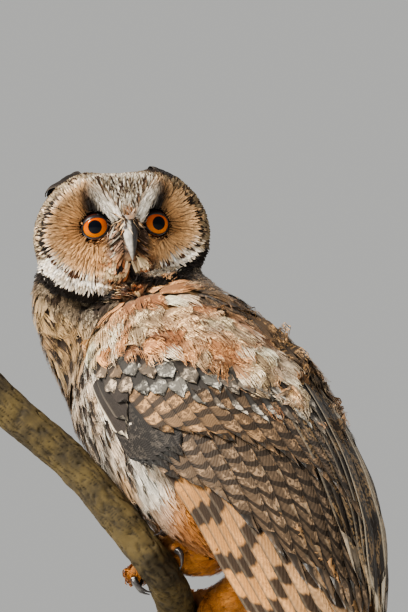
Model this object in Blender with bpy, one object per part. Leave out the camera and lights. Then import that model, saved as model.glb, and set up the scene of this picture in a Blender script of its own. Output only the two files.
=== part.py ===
"""A long-eared owl, life size and still, gripping a cut length of branch on a display stand.

All sizes are in millimetres and become metres in finish_mesh(). The model's own frame has +Z up
with the floor at zero, +X to the right and +Y away from someone who looks the owl in the face.
Three smaller frames carry the animal: the trunk's, the head's and each foot's on the branch.
In the trunk's and the head's frame +X is the owl's left, -Y its front and +Z up its spine.
"""

from math import cos, degrees, pi, radians, sin, sqrt
from random import Random

import bmesh
import bpy
from mathutils import Matrix, Vector

METRES = 0.001
JOIN_GAP = 0.3
FOOT_GAP = 0.6
LEG_GAP = 0.4
MAKING_TRIES = 8
UNEVENNESS = 0.004
CHANCE = Random(7)

# Where the trunk and the head stand
TRUNK_PLACE = Vector((-6.0, 0.0, 280.0))
TRUNK_TURN = 42.0
TRUNK_LEAN = 38.0
HEAD_PLACE = Vector((-49.0, 8.0, 378.0))
HEAD_TURN = 13.0
HEAD_NOD = 12.0
HEAD_TILT = 4.0

# Below this height the spine curves forward, so that the tail hangs more upright
BEND_START = -5.0
BEND_LENGTH = 110.0
BEND_TURN = 16.0

# The trunk: height on the spine, sideways shift, backward shift, half width, depth of breast, depth of back
TRUNK_SECTIONS = [
    (-122, 0, 10, 4, 4, 4),
    (-117, 0, 9, 15, 15, 16),
    (-104, 0, 6, 28, 27, 30),
    (-84, 0, 2, 41, 41, 45),
    (-60, 0, -2, 49, 52, 56),
    (-30, 0, -3, 54, 61, 60),
    (0, 0, -3, 56, 65, 61),
    (28, 0, -3, 54, 67, 59),
    (54, 0, -1, 43, 66, 49),
]
TRUNK_SIDES = 24
TORSO_RINGS = 13

# The neck rises from the trunk's top to a collar round the bottom of the head and ends inside it.
# Collar: height and backward shift in the head's frame, half width, depth of front, depth of back
NECK_COLLARS = [
    (-32, 8, 52, 18, 34),
    (-15, 5, 46, 17, 31),
    (-2, 4, 26, 12, 20),
]
NECK_RINGS = 6
NECK_RISE = 62.0
NECK_TWIST = 132.0

# The folded wings lie on a wider body: height, backward shift, half width, depth of front, depth of back
WING_SECTIONS = [
    (62, 2, 37, 46, 42),
    (54, 1, 45, 54, 48),
    (38, 0, 55, 60, 55),
    (0, 0, 63, 63, 62),
    (-30, 0, 64, 63, 65),
    (-60, 1, 61, 59, 66),
    (-90, 3, 55, 49, 65),
    (-120, 6, 47, 39, 60),
    (-150, 8, 38, 30, 50),
    (-180, 9, 29, 20, 38),
    (-210, 8, 21, 12, 25),
    (-240, 6, 13, 6, 13),
]
# Height, angle of the wing's front edge and of its rear edge round the spine from the breast, thickness
WING_EDGES = [
    (62, 90, 136, 4.0),
    (54, 80, 150, 8.0),
    (38, 77, 158, 11.0),
    (0, 86, 169, 12.0),
    (-30, 88, 176, 12.0),
    (-60, 89, 178, 11.0),
    (-90, 91, 178.5, 10.0),
    (-120, 89, 178.5, 9.0),
    (-150, 90, 178, 7.5),
    (-180, 97, 177, 6.0),
    (-210, 108, 175, 4.5),
    (-240, 124, 170, 2.0),
]
WING_RINGS = 16
WING_SPAN_POINTS = 7
# The left wing's rear edge reaches over the middle of the back and the right wing's stops short of it
WING_CROSSING = {"left": 8.0, "right": -9.0}

# Rows of wing feathers. A place on the wing is its height and its share of the way from front to rear edge.
# Each row: count, first and last root, first and last tip, first and last half width, lift of the tip, thickness
WING_ROWS = {
    "primaries": (5, (-52, 0.05), (-48, 0.28), (-236, 0.10), (-208, 0.82), 7.0, 7.0, 0.9, 1.5),
    "secondaries": (7, (-14, 0.09), (-30, 0.72), (-78, 0.20), (-168, 0.76), 7.5, 10.0, 1.7, 1.5),
    "greater_coverts": (6, (6, 0.14), (-38, 0.76), (-50, 0.22), (-104, 0.86), 8.0, 10.0, 2.2, 1.4),
    "primary_coverts": (2, (10, 0.03), (4, 0.10), (-64, 0.05), (-58, 0.13), 6.5, 6.5, 2.0, 1.5),
    "median_coverts": (6, (44, 0.08), (0, 0.80), (8, 0.07), (-58, 0.82), 7.5, 9.5, 2.7, 1.4),
    "scapulars": (3, (48, 0.62), (40, 0.96), (-22, 0.62), (-44, 0.94), 10.0, 11.0, 3.2, 1.8),
}
ROOT_DEPTH = 2.2

# The tail lies under the wing tips
TAIL_ROOT = (24.0, -84.0)
TAIL_TIP = (10.0, -238.0)
TAIL_HALF_WIDTHS = (16.0, 30.0)
TAIL_THICKNESS = (12.0, 3.0)
TAIL_ARCH = 5.0
TAIL_FEATHERS = 12
TAIL_CORE = 0.55

# The head, as an outline seen from the front and depths before and behind it
HEAD_HALF_WIDTH = 50.5
HEAD_HALF_HEIGHT = 39.5
HEAD_FACE_DEPTH = 17.0
HEAD_FACE_CROWN = 13.0
HEAD_BACK_DEPTH = 40.0
HEAD_SPOKES = 28
HEAD_FACE_RINGS = 11
HEAD_BACK_RINGS = 7
CROWN_NOTCH = 3.0
CHIN_NOTCH = 4.5
DISC_CENTRE = (24.0, 0.0)
DISC_RADIUS = 25.0
DISC_DISH = 6.0
RIM_HEIGHT = 2.2
BILL_RIDGE = 8.0
BROW_HEIGHT = 4.0

# The eyes
EYE_PLACE = (16.4, -17.8, 5.0)
EYE_RADIUS = 9.3
EYE_OUTWARD = 14.0
LID_RADIUS = 7.4
LID_THICKNESS = 1.5

# The bill
BILL_ROOT = (0.0, -28.0, 9.0)
BILL_LENGTH = 24.0
BILL_HALF_WIDTH = 5.2
BILL_DEPTH = 8.0
NOSTRIL = (3.6, 0.24, 1.0)

# The ear tufts, laid back along the crown
TUFT_SPOKE = 0.70
TUFT_FAN = 0.34
TUFT_REACH = 1.02
TUFT_LIFT = 3.2
TUFT_FEATHERS = 5
TUFT_FEATHER_WIDTH = 4.0

# The legs: hip, heel and foot in the trunk's frame, and how thick the feathered leg is at each
LEG_PATHS = {
    "left": [(9, -27, -62), (-1, -43, -73), (1, -55, -69), (11, -64, -59)],
    "right": [(-22, -22, -74), (-22, -44, -95), (-21, -62, -92), (-20, -78, -83)],
}
LEG_RADII = [21.0, 15.0, 10.5, 7.5]
LEG_STEPS = 13
LEG_END = 10

# The branch, from its upper cut end to its lower one, with its thickness
BRANCH_PATH = [
    (-136, -24, 298, 11.2),
    (-104, -20, 268, 10.8),
    (-70, -16, 239, 10.3),
    (-29, -14, 189, 10.4),
    (-18, 4, 172, 10.9),
    (-13, 22, 156, 10.4),
    (-8, 36, 134, 10.2),
    (-4, 44, 108, 10.6),
]
BRANCH_SIDES = 12
BRANCH_STEPS = 20
LEFT_GRIP = 0.430
RIGHT_GRIP = 0.680

# The stand
BASE_RADIUS = 92.0
BASE_THICKNESS = 18.0
BASE_PLACE = (0.0, 0.0)
ROD_RADIUS = 4.0


def lean_matrix(place, front, up):
    """A frame at place whose -Y is as near front as +Z along up allows."""
    up = up.normalized()
    back = -(front - front.dot(up) * up).normalized()
    left = back.cross(up)
    turn = Matrix((left, back, up)).transposed().to_4x4()
    return Matrix.Translation(place) @ turn


def trunk_frame():
    """The owl faces left and away, and leans forward along its branch."""
    turn, lean = radians(TRUNK_TURN), radians(TRUNK_LEAN)
    level_front = Vector((-cos(turn), sin(turn), 0.0))
    up = cos(lean) * Vector((0, 0, 1)) + sin(lean) * level_front
    return lean_matrix(TRUNK_PLACE, level_front, up)


def head_frame():
    """The head is turned right round to look over the left wing."""
    turn, nod, tilt = radians(HEAD_TURN), radians(HEAD_NOD), radians(HEAD_TILT)
    front = Vector((sin(turn) * cos(nod), -cos(turn) * cos(nod), -sin(nod)))
    up = Vector((-sin(tilt), -sin(nod), cos(tilt)))
    return lean_matrix(HEAD_PLACE, front, up - up.dot(front) * front)


def smooth_table(table, at):
    """Reads a table of rows by its first column, with smooth Catmull-Rom curves between the rows."""
    rows = sorted(table)
    at = min(max(at, rows[0][0]), rows[-1][0])
    i = max(k for k in range(len(rows) - 1) if rows[k][0] <= at or k == 0)
    low, high = rows[i], rows[i + 1]
    before, after = rows[max(i - 1, 0)], rows[min(i + 2, len(rows) - 1)]
    width = high[0] - low[0]
    t = (at - low[0]) / width
    read = []
    for a, b, c, d in zip(before[1:], low[1:], high[1:], after[1:]):
        slope_b = (c - a) / (high[0] - before[0]) * width
        slope_c = (d - b) / (after[0] - low[0]) * width
        read.append(
            (2 * t**3 - 3 * t**2 + 1) * b
            + (t**3 - 2 * t**2 + t) * slope_b
            + (3 * t**2 - 2 * t**3) * c
            + (t**3 - t**2) * slope_c
        )
    return read


def bent(x, y, z):
    """Moves a point of the straight trunk to its place on the curved spine."""
    down = max(0.0, BEND_START - z)
    turned = min(down, BEND_LENGTH)
    turn = radians(BEND_TURN) * turned / BEND_LENGTH
    if down == 0.0:
        return Vector((x, y, z))
    radius = BEND_LENGTH / radians(BEND_TURN)
    axis_y = -radius * (1 - cos(turn)) - (down - turned) * sin(turn)
    axis_z = BEND_START - radius * sin(turn) - (down - turned) * cos(turn)
    return Vector((x, axis_y + y * cos(turn), axis_z - y * sin(turn)))


def trunk_point(z, angle, grow=0.0):
    """A point on the trunk: angle 0 is the breast, 90 the left side and 180 the back."""
    shift, back_shift, half_width, front, back = smooth_table(TRUNK_SECTIONS, z)
    turn = radians(angle)
    depth = front if cos(turn) > 0 else back
    x = shift + (half_width + grow) * sin(turn)
    y = back_shift - (depth + grow) * cos(turn)
    return bent(x, y, z)


def wing_point(z, angle, inward=0.0):
    """A point on the body that the folded left wing follows."""
    back_shift, half_width, front, back = smooth_table(WING_SECTIONS, z)
    turn = radians(angle)
    depth = front if cos(turn) > 0 else back
    x = (half_width - inward) * sin(turn)
    y = back_shift - (depth - inward) * cos(turn)
    return bent(x, y, z)


def uneven():
    """A shift of a few microns, so that no two skins meet in exactly one point."""
    return Vector([CHANCE.uniform(-UNEVENNESS, UNEVENNESS) for _ in range(3)])


def loft(rings, frame=Matrix.Identity(4), flat=False):
    """One closed skin over rings of equally many points.

    Each four-sided face is cut in two. On a flat blade, whose ring goes along one side and back along the
    other, both sides are cut alike, so that a twisted blade stays whole.
    """
    bm = bmesh.new()
    laid = [[bm.verts.new(frame @ (Vector(p) + uneven())) for p in ring] for ring in rings]
    for low, high in zip(laid, laid[1:]):
        for i in range(len(low)):
            j = (i + 1) % len(low)
            if flat and i >= len(low) // 2:
                bm.faces.new((low[i], low[j], high[i]))
                bm.faces.new((low[j], high[j], high[i]))
            else:
                bm.faces.new((low[i], low[j], high[j]))
                bm.faces.new((low[i], high[j], high[i]))
    for ring in (laid[0], laid[-1]):
        middle = bm.verts.new(sum((v.co for v in ring), Vector()) / len(ring))
        for i in range(len(ring)):
            bm.faces.new((ring[i], ring[(i + 1) % len(ring)], middle))
    bmesh.ops.recalc_face_normals(bm, faces=bm.faces)
    if bm.calc_volume(signed=True) < 0:
        bmesh.ops.reverse_faces(bm, faces=bm.faces)
    return bm


VANE_SHAPE = [(0.0, 0.50), (0.50, 1.0), (0.86, 0.88), (1.0, 0.34)]


def vane(place, half_width, thickness, root_depth, lift):
    """One feather as a flat blade with a raised middle.

    place(share, lift) gives the point at a share of the way from root to tip, lifted off the surface.
    """
    rings = []
    for share, width in VANE_SHAPE:
        height = -root_depth + (lift + root_depth) * share**0.8
        here = place(share, height)
        ahead = place(min(share + 0.02, 1.0), height)
        behind = place(max(share - 0.02, 0.0), height)
        out = (place(share, height + 1.0) - here).normalized()
        across = out.cross(ahead - behind).normalized()
        half = half_width * width
        rise = 0.5 * thickness * (1.0 - 0.45 * share) * out
        rings.append([here - half * across - rise, here + rise, here + half * across - rise, here - 1.6 * rise])
    return loft(rings, flat=True)


def material(name, colour, roughness, metallic=0.0):
    """A plain finish for one kind of surface."""
    made = bpy.data.materials.new(name)
    made.use_nodes = True
    shader = made.node_tree.nodes["Principled BSDF"]
    shader.inputs["Base Color"].default_value = (*colour, 1.0)
    shader.inputs["Roughness"].default_value = roughness
    shader.inputs["Metallic"].default_value = metallic
    made.diffuse_color = (*colour, 1.0)
    return made


def finish_mesh(name, bm, finish, collection):
    """Turns millimetres into metres and makes the named object."""
    scale = Matrix.Diagonal((METRES, METRES, METRES, 1.0))
    bmesh.ops.transform(bm, matrix=scale, verts=bm.verts)
    mesh = bpy.data.meshes.new(name)
    bm.to_mesh(mesh)
    bm.free()
    mesh.shade_smooth()
    mesh.set_sharp_from_angle(angle=radians(40))
    made = bpy.data.objects.new(name, mesh)
    made.data.materials.append(finish)
    collection.objects.link(made)
    return made


def settle(obj):
    """Applies an object's modifiers."""
    graph = bpy.context.evaluated_depsgraph_get()
    mesh = bpy.data.meshes.new_from_object(obj.evaluated_get(graph))
    obj.modifiers.clear()
    obj.data = mesh


def grown(obj, by=JOIN_GAP):
    """A helper copy of a solid, its skin moved out by the gap that neighbours keep."""
    copy = obj.copy()
    copy.data = obj.data.copy()
    copy.name = obj.name + "_grown"
    bm = bmesh.new()
    bm.from_mesh(copy.data)
    bm.normal_update()
    for v in bm.verts:
        v.co += v.normal * v.calc_shell_factor() * by * METRES
    bm.to_mesh(copy.data)
    bm.free()
    copy.hide_render = True
    copy.display_type = "WIRE"
    HELPERS.objects.link(copy)
    return copy


def keep_largest(obj):
    """Drops every loose scrap that a cut or a union left beside the main body."""
    bm = bmesh.new()
    bm.from_mesh(obj.data)
    unseen = set(bm.faces)
    bodies = []
    while unseen:
        body, edge_of_search = set(), [unseen.pop()]
        while edge_of_search:
            face = edge_of_search.pop()
            body.add(face)
            for edge in face.edges:
                for other in edge.link_faces:
                    if other in unseen:
                        unseen.discard(other)
                        edge_of_search.append(other)
        bodies.append(body)
    largest = max(bodies, key=lambda body: sum(f.calc_area() for f in body))
    loose = [f for f in bm.faces if f not in largest]
    bmesh.ops.delete(bm, geom=loose, context="FACES")
    bm.to_mesh(obj.data)
    bm.free()


def is_sound(obj):
    """Whether every edge still has two faces when the skin's nearest points are taken as one."""
    for reach in (2e-7, 1e-6):
        bm = bmesh.new()
        bm.from_mesh(obj.data)
        bmesh.ops.triangulate(bm, faces=bm.faces)
        bmesh.ops.remove_doubles(bm, verts=bm.verts, dist=reach)
        faults = sum(len(edge.link_faces) != 2 for edge in bm.edges)
        bm.free()
        if faults:
            return False
    return True


def mend(obj):
    """Where two stretches of skin meet along one edge, closes each by itself there."""
    bm = bmesh.new()
    bm.from_mesh(obj.data)
    bmesh.ops.triangulate(bm, faces=bm.faces)
    bmesh.ops.remove_doubles(bm, verts=bm.verts, dist=2e-7)
    for _ in range(5):
        faults = [edge for edge in bm.edges if len(edge.link_faces) != 2]
        if not faults:
            break
        around = {face for edge in faults for v in edge.verts for face in v.link_faces}
        bmesh.ops.delete(bm, geom=list(around), context="FACES")
        bmesh.ops.delete(bm, geom=[edge for edge in bm.edges if not edge.link_faces], context="EDGES")
        rims = [edge for edge in bm.edges if len(edge.link_faces) == 1]
        bmesh.ops.holes_fill(bm, edges=rims, sides=0)
        bmesh.ops.triangulate(bm, faces=bm.faces, quad_method="SHORT_EDGE", ngon_method="BEAUTY")
    bmesh.ops.delete(bm, geom=[v for v in bm.verts if not v.link_faces], context="VERTS")
    bmesh.ops.recalc_face_normals(bm, faces=bm.faces)
    bm.to_mesh(obj.data)
    bm.free()


def until_sound(make, *given):
    """Makes nodes, and makes them again with their points moved by microns where a skin touches itself."""
    for attempt in range(MAKING_TRIES):
        before = set(PARTS.objects)
        made = make(*given)
        new = [obj for obj in PARTS.objects if obj not in before]
        for obj in new:
            if not is_sound(obj):
                mend(obj)
        if attempt == MAKING_TRIES - 1 or all(is_sound(obj) for obj in new):
            return made
        for obj in new:
            bpy.data.objects.remove(obj)


def cut(obj, *cutters):
    """Takes the cutters out of obj."""
    for cutter in cutters:
        carve = obj.modifiers.new("cut", "BOOLEAN")
        carve.operation = "DIFFERENCE"
        carve.solver = "MANIFOLD"
        carve.object = cutter
    settle(obj)
    keep_largest(obj)


def fuse(obj, bodies):
    """Joins closed bodies to obj with one union, and removes them."""
    together = bpy.data.collections.new(obj.name + "_pieces")
    bpy.context.scene.collection.children.link(together)
    for i, bm in enumerate(bodies):
        finish_mesh(f"{obj.name}_piece_{i}", bm, obj.data.materials[0], together)
    join = obj.modifiers.new("join", "BOOLEAN")
    join.operation = "UNION"
    join.operand_type = "COLLECTION"
    join.collection = together
    join.solver = "MANIFOLD"
    bpy.context.view_layer.update()
    settle(obj)
    for piece in list(together.objects):
        bpy.data.objects.remove(piece)
    bpy.data.collections.remove(together)
    keep_largest(obj)


def evenly(start, stop, count):
    """Values from start to stop, both included."""
    return [start + (stop - start) * i / (count - 1) for i in range(count)]


def trunk_rings(low, high, count):
    """Rings of the trunk, closer together towards its lower end."""
    rings = []
    for share in evenly(0.0, pi / 2, count):
        z = high - (high - low) * sin(share)
        rings.append([trunk_point(z, a) for a in evenly(0, 360, TRUNK_SIDES + 1)[:-1]])
    return rings[::-1]


def collar_ring(collar, head_frame):
    """One level section of the upper neck, its points in the same order as the trunk's."""
    z, back_shift, half_width, front, back = collar
    ring = []
    for angle in evenly(0, 360, TRUNK_SIDES + 1)[:-1]:
        turn = radians(angle - NECK_TWIST)
        depth = front if cos(turn) > 0 else back
        ring.append(head_frame @ Vector((half_width * sin(turn), back_shift - depth * cos(turn), z)))
    return ring


def neck_rings(trunk_frame, head_frame):
    """The neck bends from the leaning trunk up into the level head."""
    top = TRUNK_SECTIONS[-1][0]
    base = [trunk_frame @ trunk_point(top, a) for a in evenly(0, 360, TRUNK_SIDES + 1)[:-1]]
    collars = [collar_ring(collar, head_frame) for collar in NECK_COLLARS]
    leave = trunk_frame.to_3x3() @ Vector((0, 0, NECK_RISE))
    arrive = head_frame.to_3x3() @ Vector((0, 0, NECK_RISE))
    rings = []
    for t in evenly(0.0, 1.0, NECK_RINGS):
        ring = []
        for low, high in zip(base, collars[0]):
            ring.append(
                (2 * t**3 - 3 * t**2 + 1) * low
                + (t**3 - 2 * t**2 + t) * leave
                + (3 * t**2 - 2 * t**3) * high
                + (t**3 - t**2) * arrive
            )
        rings.append(ring)
    gap = trunk_frame.to_3x3() @ Vector((0, 0, JOIN_GAP))
    rings[0] = [p + gap for p in rings[0]]
    return rings + collars[1:]


def make_torso(frame, head, near_feet):
    bottom = TRUNK_SECTIONS[0][0]
    bm = loft(trunk_rings(bottom, TRUNK_SECTIONS[-1][0], TORSO_RINGS), frame)
    torso = finish_mesh("torso", bm, FINISH["body_feathers"], PARTS)
    cut(torso, grown(head), *[grown(neighbour, FOOT_GAP) for neighbour in near_feet])
    return torso


def make_neck(trunk_frame, head_frame, head):
    neck = finish_mesh("neck", loft(neck_rings(trunk_frame, head_frame)), FINISH["body_feathers"], PARTS)
    cut(neck, grown(head))
    return neck


def near(value, centre, spread):
    """A soft bump: 1 at centre, fading with distance."""
    return 2.718 ** (-(((value - centre) / spread) ** 2))


def distance_to_line(x, z, start, end):
    """How far a point of the face lies from a straight stretch of it."""
    along = Vector((end[0] - start[0], end[1] - start[1]))
    out = Vector((x - start[0], z - start[1]))
    share = min(max(out.dot(along) / along.length_squared, 0.0), 1.0)
    return (out - share * along).length


def head_outline(spoke):
    """How far the head reaches from its middle, seen from the front. Spoke 0 is the crown."""
    reach = 1 / sqrt((sin(spoke) / HEAD_HALF_WIDTH) ** 2 + (cos(spoke) / HEAD_HALF_HEIGHT) ** 2)
    wrapped = min(spoke, 2 * pi - spoke)
    reach -= CROWN_NOTCH * near(wrapped, 0.0, 0.35)
    reach -= CHIN_NOTCH * near(wrapped, pi, 0.40)
    corners = 1.0 * near(wrapped, 0.80, 0.35) + 2.5 * near(wrapped, 2.25, 0.40)
    return reach + corners


def face_relief(x, z, share):
    """How far the face stands forward of its plain dome: dished discs, raised rim, bill ridge, brows."""
    side = abs(x)
    from_disc = sqrt((side - DISC_CENTRE[0]) ** 2 + (z - DISC_CENTRE[1]) ** 2)
    dish = -DISC_DISH * max(0.0, 1 - (from_disc / DISC_RADIUS) ** 2)
    rim = RIM_HEIGHT * near(share, 0.90, 0.07)
    ridge = BILL_RIDGE * near(side, 0.0, 6.5) * near(z, 3.0, 17.0)
    brow = BROW_HEIGHT * near(distance_to_line(side, z, (5.0, 9.0), (19.0, 27.0)), 0.0, 4.5)
    return dish + rim + ridge + brow


def head_back(spoke, turn):
    """A point behind the rim of the face. Turn 0 is the rim and 90 degrees the nape."""
    reach = head_outline(spoke) * max(cos(turn), 0.03) ** 0.85
    back = HEAD_BACK_DEPTH * sin(turn) + 8.0 * near(turn, 0.0, 0.5)
    back -= (HEAD_FACE_DEPTH - 4.0) * (1 - sin(turn))
    return Vector((reach * sin(spoke), back - 8.0, reach * cos(spoke)))


def head_rings():
    """Rings from the bill back over the rim of the face to the nape."""
    rings = []
    spokes = [2 * pi * i / HEAD_SPOKES for i in range(HEAD_SPOKES)]
    for share in evenly(0.04, 1.0, HEAD_FACE_RINGS):
        ring = []
        for spoke in spokes:
            reach = head_outline(spoke) * share
            x, z = reach * sin(spoke), reach * cos(spoke)
            forward = HEAD_FACE_DEPTH + HEAD_FACE_CROWN * (1 - share**2.4)
            forward -= 4.0 * max(0.0, share - 0.9) / 0.1
            ring.append(Vector((x, -(forward + face_relief(x, z, share)), z)))
        rings.append(ring)
    for turn in evenly(0.0, pi / 2, HEAD_BACK_RINGS)[1:]:
        rings.append([head_back(spoke, turn) for spoke in spokes])
    return rings


def eye_direction(side):
    """The way an eye looks, in the head's frame."""
    out = radians(EYE_OUTWARD)
    return Vector((side * sin(out), -cos(out), 0.0))


def make_eye(name, side, frame):
    place = Vector((side * EYE_PLACE[0], EYE_PLACE[1], EYE_PLACE[2]))
    bm = bmesh.new()
    bmesh.ops.create_uvsphere(bm, u_segments=14, v_segments=8, radius=EYE_RADIUS)
    turn = eye_direction(side).to_track_quat("Z", "Y").to_matrix().to_4x4()
    bmesh.ops.transform(bm, matrix=frame @ Matrix.Translation(place) @ turn, verts=bm.verts)
    return finish_mesh(name, bm, FINISH["eye"], PARTS)


def lid_ring(side, frame):
    """The bare rim of the lids round one eye."""
    place = Vector((side * EYE_PLACE[0], EYE_PLACE[1], EYE_PLACE[2]))
    look = eye_direction(side)
    depth = sqrt(EYE_RADIUS**2 - LID_RADIUS**2)
    turn = look.to_track_quat("Z", "Y").to_matrix().to_4x4()
    rings = []
    for around in evenly(0, 2 * pi, 17)[:-1]:
        spoke = Vector((cos(around), sin(around), 0))
        ring = []
        for a in evenly(0, 2 * pi, 6)[:-1]:
            out = spoke * (LID_RADIUS + LID_THICKNESS * cos(a))
            ring.append(out + Vector((0, 0, depth + LID_THICKNESS * sin(a))))
        rings.append(ring)
    bm = bmesh.new()
    laid = [[bm.verts.new(p) for p in ring] for ring in rings]
    for low, high in zip(laid, laid[1:] + laid[:1]):
        for i in range(len(low)):
            j = (i + 1) % len(low)
            bm.faces.new((low[i], low[j], high[j], high[i]))
    bmesh.ops.transform(bm, matrix=frame @ Matrix.Translation(place) @ turn, verts=bm.verts)
    bmesh.ops.recalc_face_normals(bm, faces=bm.faces)
    return bm


def make_head(frame, eyes, bill):
    head = finish_mesh("head", loft(head_rings(), frame), FINISH["body_feathers"], PARTS)
    fuse(head, [lid_ring(1, frame), lid_ring(-1, frame)])
    cut(head, *[grown(piece) for piece in (*eyes, *bill)])
    return head


def bill_rings(lower):
    """The hooked upper half of the bill, or the short lower half behind it."""
    rings = []
    root = Vector(BILL_ROOT)
    steps = 9 if not lower else 6
    for share in evenly(0.0, 1.0, steps):
        bend = share * radians(62 if not lower else 40)
        length = BILL_LENGTH * (1.0 if not lower else 0.62)
        forward = sin(bend * 1.25) * length * 0.36
        down = share**0.9 * length
        taper = max(0.05, (1 - share**1.7)) if not lower else max(0.15, 1 - share**2.2)
        width = BILL_HALF_WIDTH * taper * (1.0 if not lower else 0.72)
        depth = BILL_DEPTH * taper * (1.0 if not lower else 0.30)
        set_back = 0.0 if not lower else BILL_DEPTH * 0.72
        fore = -cos(pi * share / 2) * 4.0 - forward
        centre = root + Vector((0, fore + set_back + depth * 0.15, -down * (1.0 if not lower else 0.95)))
        ring = []
        for a in evenly(0, 2 * pi, 11)[:-1]:
            ring.append(centre + Vector((width * sin(a), -depth * 0.6 * cos(a), depth * 0.12 * cos(a))))
        rings.append(ring)
    return rings


def make_bill(frame):
    """Two closed halves with the mouth line between them, and a nostril on each side."""
    upper = finish_mesh("bill_upper", loft(bill_rings(False), frame), FINISH["bill"], PARTS)
    rings = bill_rings(False)
    out, down, radius = NOSTRIL
    level = rings[round(down * (len(rings) - 1))]
    middle = sum(level, Vector()) / len(level)
    for side in (1, -1):
        bore = bmesh.new()
        bmesh.ops.create_icosphere(bore, subdivisions=1, radius=radius)
        place = Matrix.Translation(middle + Vector((side * out, -1.6, 0)))
        bmesh.ops.transform(bore, matrix=frame @ place, verts=bore.verts)
        cut(upper, finish_mesh("nostril_bore", bore, FINISH["bill"], HELPERS))
    lower = finish_mesh("bill_lower", loft(bill_rings(True), frame), FINISH["bill"], PARTS)
    cut(lower, grown(upper))
    return upper, lower


def path_frames(points):
    """A point, its tangent and two directions square to it, without twist, along a path."""
    points = [Vector(p) for p in points]
    frames, across = [], None
    for i, p in enumerate(points):
        ahead = points[min(i + 1, len(points) - 1)]
        behind = points[max(i - 1, 0)]
        along = (ahead - behind).normalized()
        if across is None:
            across = along.orthogonal().normalized()
        across = (across - across.dot(along) * along).normalized()
        frames.append((p, along, across, along.cross(across)))
    return frames


def tube_rings(points, radii, sides):
    """Round rings along a path."""
    rings = []
    for (p, _, across, other), r in zip(path_frames(points), radii):
        turns = evenly(0, 2 * pi, sides + 1)[:-1]
        rings.append([p + r * (cos(a) * across + sin(a) * other) for a in turns])
    return rings


def smooth_path(rows, count):
    """Evenly counted points of a smooth curve through the rows."""
    table = [(i, *row) for i, row in enumerate(rows)]
    return [smooth_table(table, at) for at in evenly(0, len(rows) - 1, count)]


def leg_rings(side):
    """Rings down a leg, from the hip to inside the foot's palm."""
    rows = [(*(TRUNK @ Vector(p)), r) for p, r in zip(LEG_PATHS[side], LEG_RADII)]
    path = smooth_path(rows, LEG_STEPS)
    return tube_rings([p[:3] for p in path], [p[3] for p in path], 12)


def make_leg(side, neighbours):
    leg = finish_mesh("leg_" + side, loft(leg_rings(side)[:LEG_END]), FINISH["leg_feathers"], PARTS)
    cut(leg, *[grown(neighbour, LEG_GAP) for neighbour in neighbours])
    return leg


def ankle(side):
    """The foot's own stump, which meets the leg's end face to face."""
    rings = leg_rings(side)[LEG_END - 1:]
    along = (sum(rings[1], Vector()) - sum(rings[0], Vector())).normalized()
    rings[0] = [p + JOIN_GAP * along for p in rings[0]]
    return loft(rings)


BRANCH_FINE = 400
BRANCH_LINE = smooth_path(BRANCH_PATH, BRANCH_FINE + 1)


def make_branch():
    rows = smooth_path(BRANCH_PATH, BRANCH_STEPS)
    curve = bpy.data.curves.new("perch_branch", "CURVE")
    curve.dimensions = "3D"
    curve.bevel_depth = METRES
    curve.bevel_resolution = (BRANCH_SIDES - 4) // 2
    curve.use_fill_caps = True
    spline = curve.splines.new("POLY")
    spline.points.add(len(rows) - 1)
    for point, (x, y, z, r) in zip(spline.points, rows):
        point.co = (x * METRES, y * METRES, z * METRES, 1.0)
        point.radius = r
    drawn = bpy.data.objects.new("branch_line", curve)
    HELPERS.objects.link(drawn)
    graph = bpy.context.evaluated_depsgraph_get()
    mesh = bpy.data.meshes.new_from_object(drawn.evaluated_get(graph))
    bpy.data.objects.remove(drawn)
    bm = bmesh.new()
    bm.from_mesh(mesh)
    bmesh.ops.remove_doubles(bm, verts=bm.verts, dist=0.05 * METRES)
    bm.to_mesh(mesh)
    bm.free()
    mesh.materials.clear()
    mesh.materials.append(FINISH["bark"])
    branch = bpy.data.objects.new("perch_branch", mesh)
    PARTS.objects.link(branch)
    return branch


def branch_at(share, shift=0.0):
    """The branch's middle, direction and radius at a share of its path and a shift in millimetres along it."""
    i = round(share * BRANCH_FINE)
    step = 1 if shift > 0 else -1
    walked = 0.0
    while walked < abs(shift):
        walked += (Vector(BRANCH_LINE[i + step][:3]) - Vector(BRANCH_LINE[i][:3])).length
        i += step
    along = (Vector(BRANCH_LINE[i + 1][:3]) - Vector(BRANCH_LINE[i - 1][:3])).normalized()
    return Vector(BRANCH_LINE[i][:3]), along, BRANCH_LINE[i][3]


# Each toe: shift along the branch at its root, its end and its claw's tip, direction round the branch,
# degrees of toe and of claw
TOES = [
    (1.0, 3.0, 9.5, 1, 80.0, 34.0),
    (-4.0, -7.0, -9.0, 1, 66.0, 52.0),
    (-2.0, 1.5, 12.0, -1, 100.0, 36.0),
    (4.5, 11.0, 15.0, -1, 70.0, 52.0),
]
TOE_RADIUS = (5.4, 3.7)
KNUCKLE_LIFT = 1.5
CLAW_RADIUS = 2.3
PALM_RADIUS = 8.0


def round_branch(grip, shift, angle, height):
    """A point near the branch, given by its shift along it, angle from the palm and height above the bark."""
    share, palm = grip
    here, along, radius = branch_at(share, shift)
    palm = (palm - palm.dot(along) * along).normalized()
    turn = radians(angle)
    out = cos(turn) * palm + sin(turn) * along.cross(palm)
    return here + (radius + height) * out


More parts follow.
